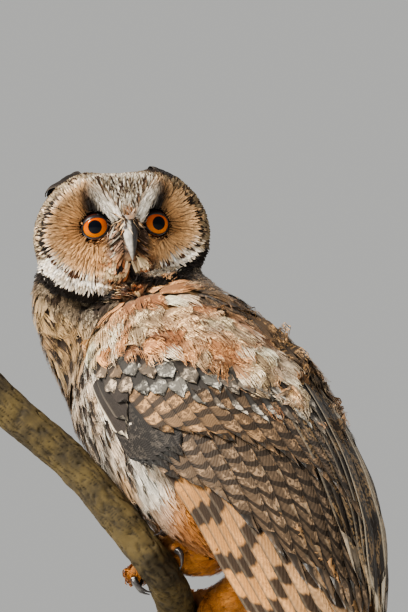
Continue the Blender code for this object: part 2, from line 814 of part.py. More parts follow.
def make_foot(side, grip, branch):
    """The palm, four toes and four claws of one foot, wrapped round the branch."""
    bodies, claws = [], []
    for number, (start, end, claw_end, way, toe_turn, claw_turn) in enumerate(TOES, 1):
        path, radii = [], []
        for share in evenly(0.0, 1.0, 6):
            height = TOE_RADIUS[0] * (1 - share) + TOE_RADIUS[1] * share
            shift = start + (end - start) * min(1.0, share * 1.6)
            knuckle = KNUCKLE_LIFT * sin(pi * share**1.5)
            path.append(round_branch(grip, shift, way * toe_turn * share, height - 0.4 + knuckle))
            radii.append(height)
        bodies.append(loft(tube_rings(path, radii, 7)))
        gap_turn = degrees((JOIN_GAP + 0.1) / (branch_at(grip[0])[2] + TOE_RADIUS[1]))
        path, radii = [], []
        for share in evenly(0.0, 1.0, 6):
            angle = way * (toe_turn + gap_turn + claw_turn * share)
            arch = TOE_RADIUS[1] + 1.6 * sin(pi * share) - (TOE_RADIUS[1] - 1.5) * share**2
            path.append(round_branch(grip, end + (claw_end - end) * share, angle, arch))
            radii.append(CLAW_RADIUS * max(0.18, 1 - share**1.5))
        claw = finish_mesh(f"claw_{side}_{number}", loft(tube_rings(path, radii, 6)), FINISH["claw"], PARTS)
        claws.append(claw)
    ball = bmesh.new()
    bmesh.ops.create_uvsphere(ball, u_segments=8, v_segments=6, radius=PALM_RADIUS)
    centre = round_branch(grip, 0, 0, PALM_RADIUS * 0.75)
    bmesh.ops.translate(ball, verts=ball.verts, vec=centre)
    foot = finish_mesh("foot_" + side, ball, FINISH["leg_feathers"], PARTS)
    fuse(foot, [*bodies, ankle(side)])
    cut(foot, grown(branch), *[grown(claw) for claw in claws])
    return foot, claws


def wing_edges(z, side):
    """The angles of a wing's front and rear edges, and its thickness."""
    front, rear, thickness = smooth_table(WING_EDGES, z)
    crossing = WING_CROSSING[side] * min(max((40.0 - z) / 40.0, 0.0), 1.0)
    return front, rear + crossing, thickness


def wing_rings(side):
    """A folded wing as a curved slab over the flank, the back and the tail, drawn on the left."""
    rings = []
    top, bottom = WING_EDGES[0][0], WING_EDGES[-1][0]
    for z in evenly(top, bottom, WING_RINGS):
        front, rear, thickness = wing_edges(z, side)
        angles = evenly(front, rear, WING_SPAN_POINTS)
        outer = [wing_point(z, a) for a in angles]
        inner = [wing_point(z, a, thickness) for a in reversed(angles[1:-1])]
        rings.append(outer + inner)
    return rings


def wing_place(side, z, across, lift):
    """A point over a wing, by height, share of the way from its front to its rear edge, and lift."""
    front, rear, _ = wing_edges(z, side)
    return wing_point(z, front + (rear - front) * across, -lift)


def wing_vanes(side, row):
    """The feathers of one row of a wing."""
    count, root_first, root_last, tip_first, tip_last, width_first, width_last, lift, thick = WING_ROWS[row]
    vanes = []
    for i in range(count):
        t = i / (count - 1)
        root = [a + (b - a) * t + CHANCE.uniform(-1, 1) * w for a, b, w in zip(root_first, root_last, (1.5, 0.005))]
        tip = [a + (b - a) * t + CHANCE.uniform(-1, 1) * w for a, b, w in zip(tip_first, tip_last, (2.0, 0.006))]

        def place(share, height, root=root, tip=tip):
            z = root[0] + (tip[0] - root[0]) * share
            return wing_place(side, z, root[1] + (tip[1] - root[1]) * share, height)

        vanes.append(vane(place, width_first + (width_last - width_first) * t, thick, ROOT_DEPTH, lift + 0.25 * (i % 2)))
    return vanes


def make_wing(side, frame, neighbours):
    mirror = Matrix.Diagonal((1 if side == "left" else -1, 1, 1, 1))
    vanes = [vane for row in WING_ROWS for vane in wing_vanes(side, row)]
    pieces = [loft(wing_rings(side), flat=True), *vanes]
    for piece in pieces:
        bmesh.ops.transform(piece, matrix=frame @ mirror, verts=piece.verts)
        if side == "right":
            bmesh.ops.reverse_faces(piece, faces=piece.faces)
    wing = finish_mesh("wing_" + side, pieces[0], FINISH["flight_feathers"], PARTS)
    fuse(wing, pieces[1:])
    cut(wing, *[grown(neighbour) for neighbour in neighbours])
    return wing


def tail_place(share, across, lift):
    """A point over the tail, by share of the way to its tip, share of its half width, and lift."""
    y = TAIL_ROOT[0] + (TAIL_TIP[0] - TAIL_ROOT[0]) * share
    z = TAIL_ROOT[1] + (TAIL_TIP[1] - TAIL_ROOT[1]) * share
    half = TAIL_HALF_WIDTHS[0] + (TAIL_HALF_WIDTHS[1] - TAIL_HALF_WIDTHS[0]) * share**0.7
    return bent(half * across, y - TAIL_ARCH * across * across + lift, z)


def make_tail(frame, torso, wings):
    """A short solid root and the long feathers that fan out of it."""
    rings = []
    for share in evenly(0.0, TAIL_CORE, 4):
        thick = TAIL_THICKNESS[0] + (TAIL_THICKNESS[1] - TAIL_THICKNESS[0]) * share / TAIL_CORE
        across = evenly(-0.92, 0.92, 5)
        upper = [tail_place(share, a, 0.0) for a in across]
        lower = [tail_place(share, a, -thick) for a in reversed(across[1:-1])]
        rings.append(upper + lower)
    tail = finish_mesh("tail", loft(rings, frame, flat=True), FINISH["flight_feathers"], PARTS)
    vanes = []
    for i in range(TAIL_FEATHERS):
        across = -1 + 2 * (i + 0.5) / TAIL_FEATHERS
        reach = 1.0 - 0.05 * abs(across) ** 3
        depth = 1.0 + 0.9 * (TAIL_FEATHERS / 2 - abs(i - TAIL_FEATHERS / 2 + 0.5)) / TAIL_FEATHERS

        def place(share, height, across=across, reach=reach):
            return tail_place(0.30 + (reach - 0.30) * share, across * (0.8 + 0.2 * share), height)

        bm = vane(place, 5.6, 1.5, 2.4, depth)
        bmesh.ops.transform(bm, matrix=frame, verts=bm.verts)
        vanes.append(bm)
    fuse(tail, vanes)
    cut(tail, grown(torso), *[grown(wing) for wing in wings])
    return tail


def tuft_place(sign, across, share, lift):
    """A point over the crown where an ear tuft lies back, by share of its width and of its length."""
    spoke = TUFT_SPOKE + TUFT_FAN * across * (0.5 + 0.6 * share) + 0.22 * share
    turn = 0.06 + TUFT_REACH * share
    here = head_back(spoke, turn)
    out = (head_back(spoke, turn + 0.02) - here).cross(head_back(spoke + 0.02, turn) - here).normalized()
    if out.z < 0:
        out = -out
    here += out * (lift + TUFT_LIFT * sin(pi * share * 0.8))
    return Vector((sign * here.x, here.y, here.z))


def make_tuft(side, frame, head):
    """An ear tuft of long feathers that grow from one root."""
    sign = 1 if side == "left" else -1
    blades = []
    for i in range(TUFT_FEATHERS):
        across = -0.5 + i / (TUFT_FEATHERS - 1)
        reach = 1.0 - 0.9 * across * across - 0.10 * (i % 2)

        def place(share, height, across=across, reach=reach):
            return tuft_place(sign, across, share * reach, height)

        blades.append(vane(place, TUFT_FEATHER_WIDTH, 2.4, 0.4, 0.6 + 0.5 * (i % 2)))
    for blade in blades:
        bmesh.ops.transform(blade, matrix=frame, verts=blade.verts)
    root = bmesh.new()
    bmesh.ops.create_icosphere(root, subdivisions=1, radius=4.2)
    place = Matrix.Translation(tuft_place(sign, 0.0, 0.10, 0.0))
    bmesh.ops.transform(root, matrix=frame @ place @ Matrix.Diagonal((1.3, 1.0, 0.6, 1.0)), verts=root.verts)
    tuft = finish_mesh("ear_tuft_" + side, root, FINISH["body_feathers"], PARTS)
    fuse(tuft, blades)
    cut(tuft, grown(head))
    return tuft


def make_stand(branch):
    """A turned base and one plain rod that runs up into the lower end of the branch."""
    foot = Vector(BRANCH_PATH[-1][:3])
    base = bmesh.new()
    bmesh.ops.create_cone(
        base, cap_ends=True, segments=40, radius1=BASE_RADIUS, radius2=BASE_RADIUS, depth=BASE_THICKNESS
    )
    place = Vector((BASE_PLACE[0], BASE_PLACE[1], BASE_THICKNESS / 2))
    bmesh.ops.translate(base, verts=base.verts, vec=place)
    top_edges = [
        e for e in base.edges if all(v.co.z > BASE_THICKNESS - 0.1 for v in e.verts) and len(e.link_faces) == 2
    ]
    bmesh.ops.bevel(base, geom=top_edges, offset=3.0, segments=2, profile=0.5, affect="EDGES", material=-1)
    stand_base = finish_mesh("stand_base", base, FINISH["stand_wood"], PARTS)
    rod = bmesh.new()
    low, high = BASE_THICKNESS * 0.4, foot.z + 20.0
    bmesh.ops.create_cone(
        rod, cap_ends=True, segments=20, radius1=ROD_RADIUS, radius2=ROD_RADIUS, depth=high - low
    )
    bmesh.ops.translate(rod, verts=rod.verts, vec=Vector((foot.x, foot.y, (low + high) / 2)))
    stand_rod = finish_mesh("stand_rod", rod, FINISH["stand_metal"], PARTS)
    cut(stand_base, grown(stand_rod))
    cut(branch, grown(stand_rod))


for old in list(bpy.data.objects):
    bpy.data.objects.remove(old)

PARTS = bpy.data.collections.new("long_eared_owl")
HELPERS = bpy.data.collections.new("helpers")
for group in (PARTS, HELPERS):
    bpy.context.scene.collection.children.link(group)

FINISH = {
    "body_feathers": material("body_feathers", (0.42, 0.31, 0.20), 0.85),
    "flight_feathers": material("flight_feathers", (0.33, 0.25, 0.18), 0.80),
    "leg_feathers": material("leg_feathers", (0.62, 0.43, 0.24), 0.90),
    "eye": material("eye", (0.90, 0.33, 0.02), 0.10),
    "bill": material("bill", (0.30, 0.30, 0.28), 0.45),
    "claw": material("claw", (0.06, 0.06, 0.07), 0.35),
    "bark": material("bark", (0.20, 0.14, 0.05), 0.90),
    "stand_wood": material("stand_wood", (0.16, 0.10, 0.06), 0.50),
    "stand_metal": material("stand_metal", (0.45, 0.45, 0.46), 0.35, 1.0),
}

TRUNK = trunk_frame()
HEAD = head_frame()

branch = make_branch()
PALM_WAYS = {"left": Vector((0.10, 0.95, 0.30)), "right": Vector((0.75, 0.35, 0.40))}
feet, claws = {}, {}
for side, share in (("left", LEFT_GRIP), ("right", RIGHT_GRIP)):
    feet[side], claws[side] = until_sound(make_foot, side, (share, PALM_WAYS[side]), branch)
eyes = [make_eye("eye_left", 1, HEAD), make_eye("eye_right", -1, HEAD)]
bill = until_sound(make_bill, HEAD)
head = until_sound(make_head, HEAD, eyes, bill)
torso = until_sound(make_torso, TRUNK, head, [branch, *feet.values(), *claws["left"], *claws["right"]])
neck = until_sound(make_neck, TRUNK, HEAD, head)
legs = []
for side in ("left", "right"):
    until_sound(make_tuft, side, HEAD, head)
    legs.append(until_sound(make_leg, side, [torso, branch, *claws[side], *legs]))
wings = [until_sound(make_wing, side, TRUNK, [torso, neck, head]) for side in ("left", "right")]
until_sound(make_tail, TRUNK, torso, wings)
make_stand(branch)

for helper in list(HELPERS.objects):
    bpy.data.objects.remove(helper)
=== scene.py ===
# %% [markdown]
# # A long-eared owl on its perch
#
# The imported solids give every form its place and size. This lesson dresses them: a skin of one piece, a coat
# of real feather meshes that lie along the body, glossy eyes, horn, bark, turned wood and brushed metal.
# Lengths are written in millimetres and multiplied by MM where they meet Blender's metres.

from itertools import product
from math import cos, pi, radians, sin, sqrt

import bmesh
import bpy
import numpy as np
from mathutils import Matrix, Vector, noise
from mathutils.bvhtree import BVHTree


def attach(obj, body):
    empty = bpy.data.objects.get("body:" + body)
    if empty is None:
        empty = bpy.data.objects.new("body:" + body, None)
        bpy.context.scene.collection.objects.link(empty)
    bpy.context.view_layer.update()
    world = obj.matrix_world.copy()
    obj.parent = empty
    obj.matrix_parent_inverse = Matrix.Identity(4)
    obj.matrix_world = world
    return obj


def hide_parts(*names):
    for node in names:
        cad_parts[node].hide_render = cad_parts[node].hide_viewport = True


MM = 0.001
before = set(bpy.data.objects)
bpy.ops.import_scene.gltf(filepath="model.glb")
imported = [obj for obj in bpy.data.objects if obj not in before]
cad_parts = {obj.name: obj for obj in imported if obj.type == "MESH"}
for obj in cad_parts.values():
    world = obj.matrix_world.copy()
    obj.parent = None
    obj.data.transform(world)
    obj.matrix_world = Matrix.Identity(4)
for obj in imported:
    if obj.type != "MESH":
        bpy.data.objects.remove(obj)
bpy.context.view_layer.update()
DRAW = np.random.default_rng(11)
print(len(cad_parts), "solids")

# %% [markdown]
# ## The camera and the studio
#
# The bird was seen from below with a long lens. A camera placed by its distance, its upward tilt and the
# width that one picture holds at that distance repeats this. The studio is a pale floor under soft lamps.

# %% Camera
PICTURE_SIZE = (408, 612)
PICTURE_MIDDLE = Vector((0.0, 0.0, 0.335))
CAMERA_TILT = radians(12.0)
CAMERA_DISTANCE = 1.45
METRES_PER_PIXEL = 0.00057


def new_object(name, data):
    """A named object in the scene, at the origin."""
    made = bpy.data.objects.new(name, data)
    bpy.context.scene.collection.objects.link(made)
    return made


camera_data = bpy.data.cameras.new("camera")
camera = new_object("camera", camera_data)
camera.location = PICTURE_MIDDLE - CAMERA_DISTANCE * Vector((0.0, cos(CAMERA_TILT), sin(CAMERA_TILT)))
camera.rotation_euler = (pi / 2 + CAMERA_TILT, 0.0, 0.0)
camera_data.sensor_width = 36.0
camera_data.lens = 36.0 * CAMERA_DISTANCE / (PICTURE_SIZE[1] * METRES_PER_PIXEL)
bpy.context.scene.camera = camera
print("lens", round(camera_data.lens, 1), "mm")


# %% Floor and light
def plain_material(name, colour, roughness):
    """A one-colour finish for the studio."""
    made = bpy.data.materials.new(name)
    made.use_nodes = True
    shader = made.node_tree.nodes["Principled BSDF"]
    shader.inputs["Base Color"].default_value = (*colour, 1.0)
    shader.inputs["Roughness"].default_value = roughness
    return made


def lamp(name, place, size, power, colour=(1.0, 1.0, 1.0), mirrored=True):
    """A square soft lamp that points at the owl. Lamps that aren't mirrored leave the eyes dark."""
    data = bpy.data.lights.new(name, "AREA")
    data.size = size
    data.energy = power
    data.color = colour
    made = new_object(name, data)
    made.location = place
    made.visible_glossy = mirrored
    made.rotation_euler = (Vector(place) - PICTURE_MIDDLE).to_track_quat("Z", "Y").to_euler()


floor_form = bmesh.new()
bmesh.ops.create_grid(floor_form, x_segments=1, y_segments=1, size=6.0)
floor_mesh = bpy.data.meshes.new("floor")
floor_form.to_mesh(floor_mesh)
floor_form.free()
floor = new_object("floor", floor_mesh)
floor.location.z = -0.001
floor_mesh.materials.append(plain_material("pale_floor", (0.72, 0.72, 0.70), 0.9))

world = bpy.data.worlds.new("studio")
world.use_nodes = True
world.node_tree.nodes["Background"].inputs["Color"].default_value = (0.84, 0.84, 0.82, 1.0)
world.node_tree.nodes["Background"].inputs["Strength"].default_value = 0.52
bpy.context.scene.world = world
bpy.context.scene.view_settings.look = "AgX - Medium High Contrast"
lamp("key_lamp", (-1.25, -0.9, 1.35), 0.5, 90.0, (1.0, 0.94, 0.85))
lamp("fill_lamp", (1.3, -1.2, 0.7), 1.0, 6.0, (1.0, 0.97, 0.92), False)
lamp("rim_lamp", (0.6, 1.2, 1.3), 0.8, 18.0, (1.0, 0.98, 0.92), False)
print("studio ready")

# %% [markdown]
# ## Where things are on the bird
#
# Markings and the lie of the feathers follow the animal, not the room. So the lesson keeps two small frames,
# one for the trunk and one for the head, in which +X is the owl's left, -Y its front and +Z up its spine.
# The lower spine curves forward, and `unbent` takes a point back to the straight spine.

# %% Frames of the trunk and the head
TRUNK_PLACE, TRUNK_TURN, TRUNK_LEAN = Vector((-6.0, 0.0, 280.0)), 42.0, 38.0
HEAD_PLACE, HEAD_TURN, HEAD_NOD, HEAD_TILT = Vector((-49.0, 8.0, 378.0)), 13.0, 12.0, 4.0
BEND_START, BEND_LENGTH, BEND_TURN = -5.0, 110.0, radians(16.0)
BEND_RADIUS = BEND_LENGTH / BEND_TURN


def body_frame(place, front, up):
    """A frame at place that looks along front as far as up allows."""
    up = up.normalized()
    back = -(front - front.dot(up) * up).normalized()
    return Matrix.Translation(place) @ Matrix((back.cross(up), back, up)).transposed().to_4x4()


def trunk_matrix():
    """The trunk's frame, from its turn away from the room's left and its lean forward."""
    turn, lean = radians(TRUNK_TURN), radians(TRUNK_LEAN)
    front = Vector((-cos(turn), sin(turn), 0.0))
    return body_frame(TRUNK_PLACE, front, cos(lean) * Vector((0, 0, 1)) + sin(lean) * front)


def head_matrix():
    """The head's frame, from its turn, its nod and its tilt."""
    turn, nod, tilt = radians(HEAD_TURN), radians(HEAD_NOD), radians(HEAD_TILT)
    front = Vector((sin(turn) * cos(nod), -cos(turn) * cos(nod), -sin(nod)))
    return body_frame(HEAD_PLACE, front, Vector((-sin(tilt), -sin(nod), cos(tilt))))


TRUNK, HEAD = np.array(trunk_matrix()), np.array(head_matrix())


def to_frame(matrix, points):
    """World points in metres, in a frame's millimetres."""
    return (np.asarray(points) / MM - matrix[:3, 3]) @ matrix[:3, :3]


def from_frame(matrix, points):
    """Points in a frame's millimetres, in the world's metres."""
    return (np.asarray(points) @ matrix[:3, :3].T + matrix[:3, 3]) * MM


def soft(value, start, end):
    """A straight ramp from 0 at start to 1 at end."""
    return np.clip((value - start) / (end - start), 0, 1)


# %% Bending and unbending the spine
def bent(points):
    """Moves points of the straight trunk to their places on the curved spine."""
    x, y, z = np.moveaxis(np.asarray(points, float), -1, 0)
    down = np.maximum(0.0, BEND_START - z)
    turn = np.minimum(down, BEND_LENGTH) / BEND_RADIUS
    rest = np.maximum(0.0, down - BEND_LENGTH)
    axis_y = -BEND_RADIUS * (1 - np.cos(turn)) - rest * np.sin(turn)
    axis_z = BEND_START - BEND_RADIUS * np.sin(turn) - rest * np.cos(turn)
    low = np.stack([x, axis_y + y * np.cos(turn), axis_z - y * np.sin(turn)], -1)
    return np.where((z > BEND_START)[..., None], np.stack([x, y, z], -1), low)


def unbent(points):
    """The straight trunk's point for one on the curved spine."""
    x, y, z = np.moveaxis(np.asarray(points, float), -1, 0)
    turn = np.arctan2(BEND_START - z, y + BEND_RADIUS)
    curved_y = np.hypot(y + BEND_RADIUS, BEND_START - z) - BEND_RADIUS
    curved_z = BEND_START - BEND_RADIUS * turn
    end_y, end_z = -BEND_RADIUS * (1 - cos(BEND_TURN)), BEND_START - BEND_RADIUS * sin(BEND_TURN)
    past_y = (y - end_y) * cos(BEND_TURN) - (z - end_z) * sin(BEND_TURN)
    past_z = BEND_START - BEND_LENGTH + (y - end_y) * sin(BEND_TURN) + (z - end_z) * cos(BEND_TURN)
    straight_y = np.where(z > BEND_START, y, np.where(turn < BEND_TURN, curved_y, past_y))
    straight_z = np.where(z > BEND_START, z, np.where(turn < BEND_TURN, curved_z, past_z))
    return np.stack([x, straight_y, straight_z], -1)


def round_trunk(points):
    """Height on the spine and angle round it: 0 is the breast, 90 the left side and 180 the back."""
    local = unbent(to_frame(TRUNK, points))
    return local[..., 2], np.degrees(np.arctan2(local[..., 0], -local[..., 1]))


print("spine's middle at", np.round(from_frame(TRUNK, (0, 0, 0)), 3))

# %% [markdown]
# ## One skin under the coat
#
# The solids of flesh are separate so that each can be named. A living bird has one skin, so their meshes are
# joined, remeshed by voxels, smoothed and drawn in by the depth of the coat. Remeshing was chosen over a
# Boolean union because it also closes the thin gaps between the solids and rounds the seams. Thin edges,
# such as a wing's rear edge, break up in voxels, so points that end outside the solids are brought back.

# %% From solids to meshes
FLESH = ["torso", "neck", "head", "leg_left", "leg_right", "foot_left", "foot_right"]
BODY = FLESH + ["wing_left", "wing_right", "tail"]


def joined_form(names):
    """One bmesh of several solids, each merged first, because an imported solid is loose triangles."""
    together = bmesh.new()
    for name in names:
        piece = bmesh.new()
        piece.from_mesh(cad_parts[name].data)
        bmesh.ops.remove_doubles(piece, verts=piece.verts, dist=0.00001)
        mesh = bpy.data.meshes.new("copy")
        piece.to_mesh(mesh)
        piece.free()
        together.from_mesh(mesh)
        bpy.data.meshes.remove(mesh)
    return together


def object_from(name, form):
    """A named, smooth object from a bmesh in metres."""
    mesh = bpy.data.meshes.new(name)
    form.to_mesh(mesh)
    form.free()
    mesh.shade_smooth()
    return new_object(name, mesh)


def remeshed(name, solids, voxel, rounds):
    """One even mesh of several solids, smoothed a number of rounds."""
    made = object_from(name, joined_form(solids))
    even = made.modifiers.new("even", "REMESH")
    even.mode = "VOXEL"
    even.voxel_size = voxel * MM
    even.use_smooth_shade = True
    smoothing = made.modifiers.new("soft", "SMOOTH")
    smoothing.factor = 0.5
    smoothing.iterations = rounds
    graph = bpy.context.evaluated_depsgraph_get()
    mesh = bpy.data.meshes.new_from_object(made.evaluated_get(graph))
    made.modifiers.clear()
    made.data = mesh
    return made


def hand_over(made, replaced=()):
    """Hangs a piece on the root body and hides the solids that it replaces."""
    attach(made, "root")
    if replaced:
        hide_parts(*replaced)


def tree_of(names):
    """A search tree that finds the nearest place on several solids."""
    form = joined_form(names)
    tree = BVHTree.FromBMesh(form)
    form.free()
    return tree


# %% Measuring pieces
def distances(tree, places):
    """How far places are from what a search tree holds, in millimetres."""
    return np.array([tree.find_nearest(Vector(p))[3] for p in places]) / MM


def points_of(mesh):
    """A mesh's points as an array."""
    flat = np.empty(len(mesh.vertices) * 3)
    mesh.vertices.foreach_get("co", flat)
    return flat.reshape(-1, 3)


def normals_of(mesh):
    """A mesh's point normals as an array."""
    flat = np.empty(len(mesh.vertices) * 3)
    mesh.vertex_normals.foreach_get("vector", flat)
    return flat.reshape(-1, 3)


# %% The skin
SKIN_VOXEL = 1.7
SKIN_DEPTH = 2.6
THIN_DEPTH = 0.9
skin = remeshed("owl_skin", BODY, SKIN_VOXEL, 8)
FLESH_SOLIDS = tree_of(BODY)


def pulled_in(made, points, allowed, depth):
    """Moves a piece's points; those outside the solids by more than allowed go to a depth inside."""
    moved = points.copy()
    for i, place in enumerate(points):
        nearest, way, _, far = FLESH_SOLIDS.find_nearest(Vector(place))
        if far > allowed * MM and (Vector(place) - nearest).dot(way) > 0:
            moved[i] = nearest - way * depth * MM
    made.data.vertices.foreach_set("co", moved.ravel())
    made.data.update()
    return moved


surface_points = pulled_in(skin, points_of(skin.data), 0.5, 0.0)
surface_normals = normals_of(skin.data)
SURFACE = BVHTree.FromPolygons(surface_points.tolist(), [tuple(p.vertices) for p in skin.data.polygons])
heights, _ = round_trunk(surface_points)
FEET = tree_of(["foot_left", "foot_right"])
thin = np.maximum(soft(heights, -95, -125), soft(distances(FEET, surface_points), 7, 2))
skin_depths = SKIN_DEPTH + (THIN_DEPTH - SKIN_DEPTH) * thin[:, None]
pulled_in(skin, surface_points - surface_normals * skin_depths * MM, 0.3, 0.8)
hand_over(skin, FLESH)
print("skin", len(skin.data.polygons), "faces")

# %% [markdown]
# ## How a feather is made
#
# A feather is a thin blade: a shaft down the middle, a vane on each side and a tip that frays. One function
# grows any number of them at once as rows of points along and across the blade, joined in one mesh, because
# thousands of separate objects would be slow. What differs between two feathers is told by attributes: the
# ground colour, the colour of the marks and how strongly each kind of mark shows.

# %% Laying shafts along the skin
def unit(vectors):
    """Vectors of length one."""
    return vectors / np.maximum(np.linalg.norm(vectors, axis=-1, keepdims=True), 1e-12)


def walk_surface(roots, lies, lengths, steps, tree=None):
    """Follows the surface from each root along its lie: points and normals at steps + 1 places."""
    tree = tree or SURFACE
    lines, ups = np.empty((len(roots), steps + 1, 3)), np.empty((len(roots), steps + 1, 3))
    for i, (root, lie, length) in enumerate(zip(roots, lies, lengths)):
        place, up, _, _ = tree.find_nearest(Vector(root))
        heading = Vector(lie)
        for k in range(steps + 1):
            lines[i, k], ups[i, k] = place, up
            heading = (heading - heading.dot(up) * up).normalized()
            ahead = place + heading * (length / steps)
            place, next_up, _, _ = tree.find_nearest(ahead)
            if next_up.dot(up) < 0.2:
                place, next_up = ahead, up
            up = next_up
    return lines, ups


# %% Growing feathers on shafts
def outline_of(along, root_width, tip_start, tip_power=2.0):
    """A feather's half width, from 0 to 1, at shares of its length."""
    swell = root_width + (1 - root_width) * np.clip(along / 0.35, 0, 1) ** 0.7
    past = np.clip((along - tip_start) / (1 - tip_start), 0, 1)
    return swell * (1 - past**tip_power) ** (1 / tip_power)


class Coat:
    """Gathers feathers and strands, and makes them one mesh."""

    def __init__(self):
        self.parts = []

    def grow(self, lines, ups, half_widths, look, rows=7, cols=4, root=(0.35, 0.62), lift=(-1.6, 0.6),
             camber=0.4, tilt=0.0, fray=0.05, stray=0.0):
        """Blades along the lines, or bundles of loose strands where stray is more than nothing."""
        count, steps = lines.shape[0], lines.shape[1] - 1
        along = np.linspace(0, 1, rows + 1)[None, :, None]
        across = np.linspace(-1, 1, cols + 1)[None, None, :]
        uneven, loose = DRAW.uniform(-1, 1, (count, 1, cols + 1)), 0.0
        if stray:
            middles = across[..., :-1] + 1 / cols + stray * DRAW.normal(0, 1, (count, 1, cols)) * along**2
            halves = np.tile((-1.0, 1.0), cols) / cols * (1.2 - 0.95 * along**1.5)
            across = np.repeat(middles, 2, axis=2) + halves
            uneven = np.repeat(-np.abs(uneven[..., :-1]), 2, axis=2)
            loose = 0.5 * np.repeat(DRAW.uniform(0, 1, (count, 1, cols)), 2, axis=2) * along
        across = np.broadcast_to(across, (count, rows + 1, across.shape[2]))
        round_tip = 1 - (0.12 + 0.5 * stray) * across**2 * along
        spot = np.clip(along * (1 + fray * uneven * along) * round_tip, 0, 1) * steps
        low = np.clip(spot.astype(int), 0, steps - 1)
        share = (spot - low)[..., None]
        feather = np.arange(count)[:, None, None]
        middle = lines[feather, low] * (1 - share) + lines[feather, low + 1] * share
        up = unit(ups[feather, low] * (1 - share) + ups[feather, low + 1] * share)
        heading = unit(lines[feather, low + 1] - lines[feather, low])
        side = unit(np.cross(heading, up))
        width = outline_of(along, *root) * np.asarray(half_widths).reshape(-1, 1, 1)
        lifts = np.asarray(lift, float).reshape(-1, 2) if np.ndim(lift) > 1 else np.tile(lift, (count, 1))
        rise = lifts[:, :1, None] + (lifts[:, 1:, None] - lifts[:, :1, None]) * along**0.8 + loose
        rise = rise + camber * (1 - across**2) - np.asarray(tilt).reshape(-1, 1, 1) * across
        points = middle + (width * across)[..., None] * side * MM + rise[..., None] * up * MM
        self.add(points, along, (across + 1) / 2, look, lines[:, 0], bool(stray))

    def add(self, points, along, across, look, roots, strands):
        """Takes a grid of points for each feather, with its look."""
        count, rows, cols = points.shape[:3]
        at = np.arange(rows * cols).reshape(rows, cols)
        first, second = (at[:, 0::2], at[:, 1::2]) if strands else (at[:, :-1], at[:, 1:])
        quads = np.stack([first[:-1], second[:-1], second[1:], first[1:]], -1).reshape(-1, 4)
        faces = (quads[None] + (np.arange(count) * rows * cols)[:, None, None]).reshape(-1, 4)
        place = np.stack(np.broadcast_arrays(np.clip(across, 0, 1), along), -1).reshape(-1, 2)
        bake = coat_patch(roots)[:, None, None, :] + 0.003 * place.reshape(count, rows, cols, 2)
        each = {name: np.repeat(value, rows * cols, 0) for name, value in look.items()}
        self.parts.append((points.reshape(-1, 3), faces, place, bake.reshape(-1, 2), each))

    def finish(self, name, material, replaced=(), slot="body_feathers"):
        """One object of all the feathers."""
        shifts = np.cumsum([0] + [len(part[0]) for part in self.parts])[:-1]
        points = np.concatenate([part[0] for part in self.parts])
        faces = np.concatenate([part[1] + shift for part, shift in zip(self.parts, shifts)])
        mesh = bpy.data.meshes.new(name)
        mesh.vertices.add(len(points))
        mesh.vertices.foreach_set("co", points.ravel())
        mesh.loops.add(faces.size)
        mesh.loops.foreach_set("vertex_index", faces.ravel())
        mesh.polygons.add(len(faces))
        mesh.polygons.foreach_set("loop_start", np.arange(0, faces.size, 4))
        mesh.update(calc_edges=True)
        mesh.shade_smooth()
        for layer, which in (("Feather", 2), ("OFBake", 3)):
            flat = np.concatenate([part[which] for part in self.parts])[faces.ravel()]
            mesh.uv_layers.new(name=layer).data.foreach_set("uv", flat.ravel())
        for kind in self.parts[0][4]:
            values = np.concatenate([part[4][kind] for part in self.parts])
            mesh.attributes.new(kind, "FLOAT_COLOR", "POINT").data.foreach_set("color", values.ravel())
        mesh.materials.append(material)
        hand_over(new_object(name, mesh), replaced)
        print(name, len(faces) * 2, "triangles")


# %% A place for each feather on one unwrap
def coat_patch(roots):
    """Each root's place on an unwrap of the body: round the head, or round the spine and down it."""
    heights, angles = round_trunk(roots)
    face = to_frame(HEAD, roots)
    head_turn = np.degrees(np.arctan2(face[:, 0], -face[:, 1]))
    on_head = (np.linalg.norm(face, axis=1) < 62) & (face[:, 2] > -38)
    turned = np.where(on_head, head_turn, angles)
    up_head, up_trunk = soft(face[:, 2], -45, 45), soft(heights, -260, 100)
    raised = np.where(on_head, up_head * 0.34 + 0.64, up_trunk * 0.60 + 0.01)
    return np.stack([(turned + 180) / 360 * 0.96 + 0.01, raised], -1)


def colour(red, green, blue):
    """A screen colour from 0 to 255 as the linear values that materials use."""
    share = np.array([red, green, blue]) / 255
    return np.where(share <= 0.04045, share / 12.92, ((share + 0.055) / 1.055) ** 2.4)


# %% What a feather looks like
def looks(count, ground, mark, bars=0.0, bar_count=5.0, streak=0.0, vermiculation=0.0, tip=0.0, fringe=0.0,
          uneven=0.10, phase=None, breadth=0.30):
    """The attributes of feathers. Strengths go from 0 to 1; each feather differs a little in tone."""
    tone = 1 + DRAW.normal(0, uneven, (count, 1))
    ground = np.clip(np.broadcast_to(ground, (count, 3)) * tone, 0, 1)
    mark = np.clip(np.broadcast_to(mark, (count, 3)) * tone, 0, 1)

    def column(value):
        return np.broadcast_to(np.asarray(value, float).reshape(-1, 1), (count, 1))

    chance = DRAW.uniform(0, 1, (count, 1)) if phase is None else column(phase) % 1.0

    return {
        "ground": np.hstack([ground, np.ones((count, 1))]),
        "mark": np.hstack([mark, chance]),
        "bands": np.hstack([column(bars), column(streak), column(vermiculation), column(bar_count) / 20]),
        "edges": np.hstack([column(tip), column(fringe), column(breadth), chance]),
    }

# %% [markdown]
# ## The colour of a feather
#
# Every plumage piece shares one effect: bars across the blade, a dark shaft streak, fine wavy lines and
# specks, a marked tip, a pale fringe, and the barbs, which show as very fine slanting lines. It also paints
# shade: the covered root end of each feather and the sides of barred feathers are darker. It is a node group
# with named inputs. It reads the feather's own UV map, so each mark follows its blade wherever it lies. Sums
# are hard to read node by node, so a small class, Value, lets them be written with signs, and each sign adds
# one Math node.

# %% Small helpers for node trees
def node(tree, kind, **settings):
    """Adds one node with its settings."""
    made = tree.nodes.new(kind)
    for name, value in settings.items():
        setattr(made, name, value)
    return made


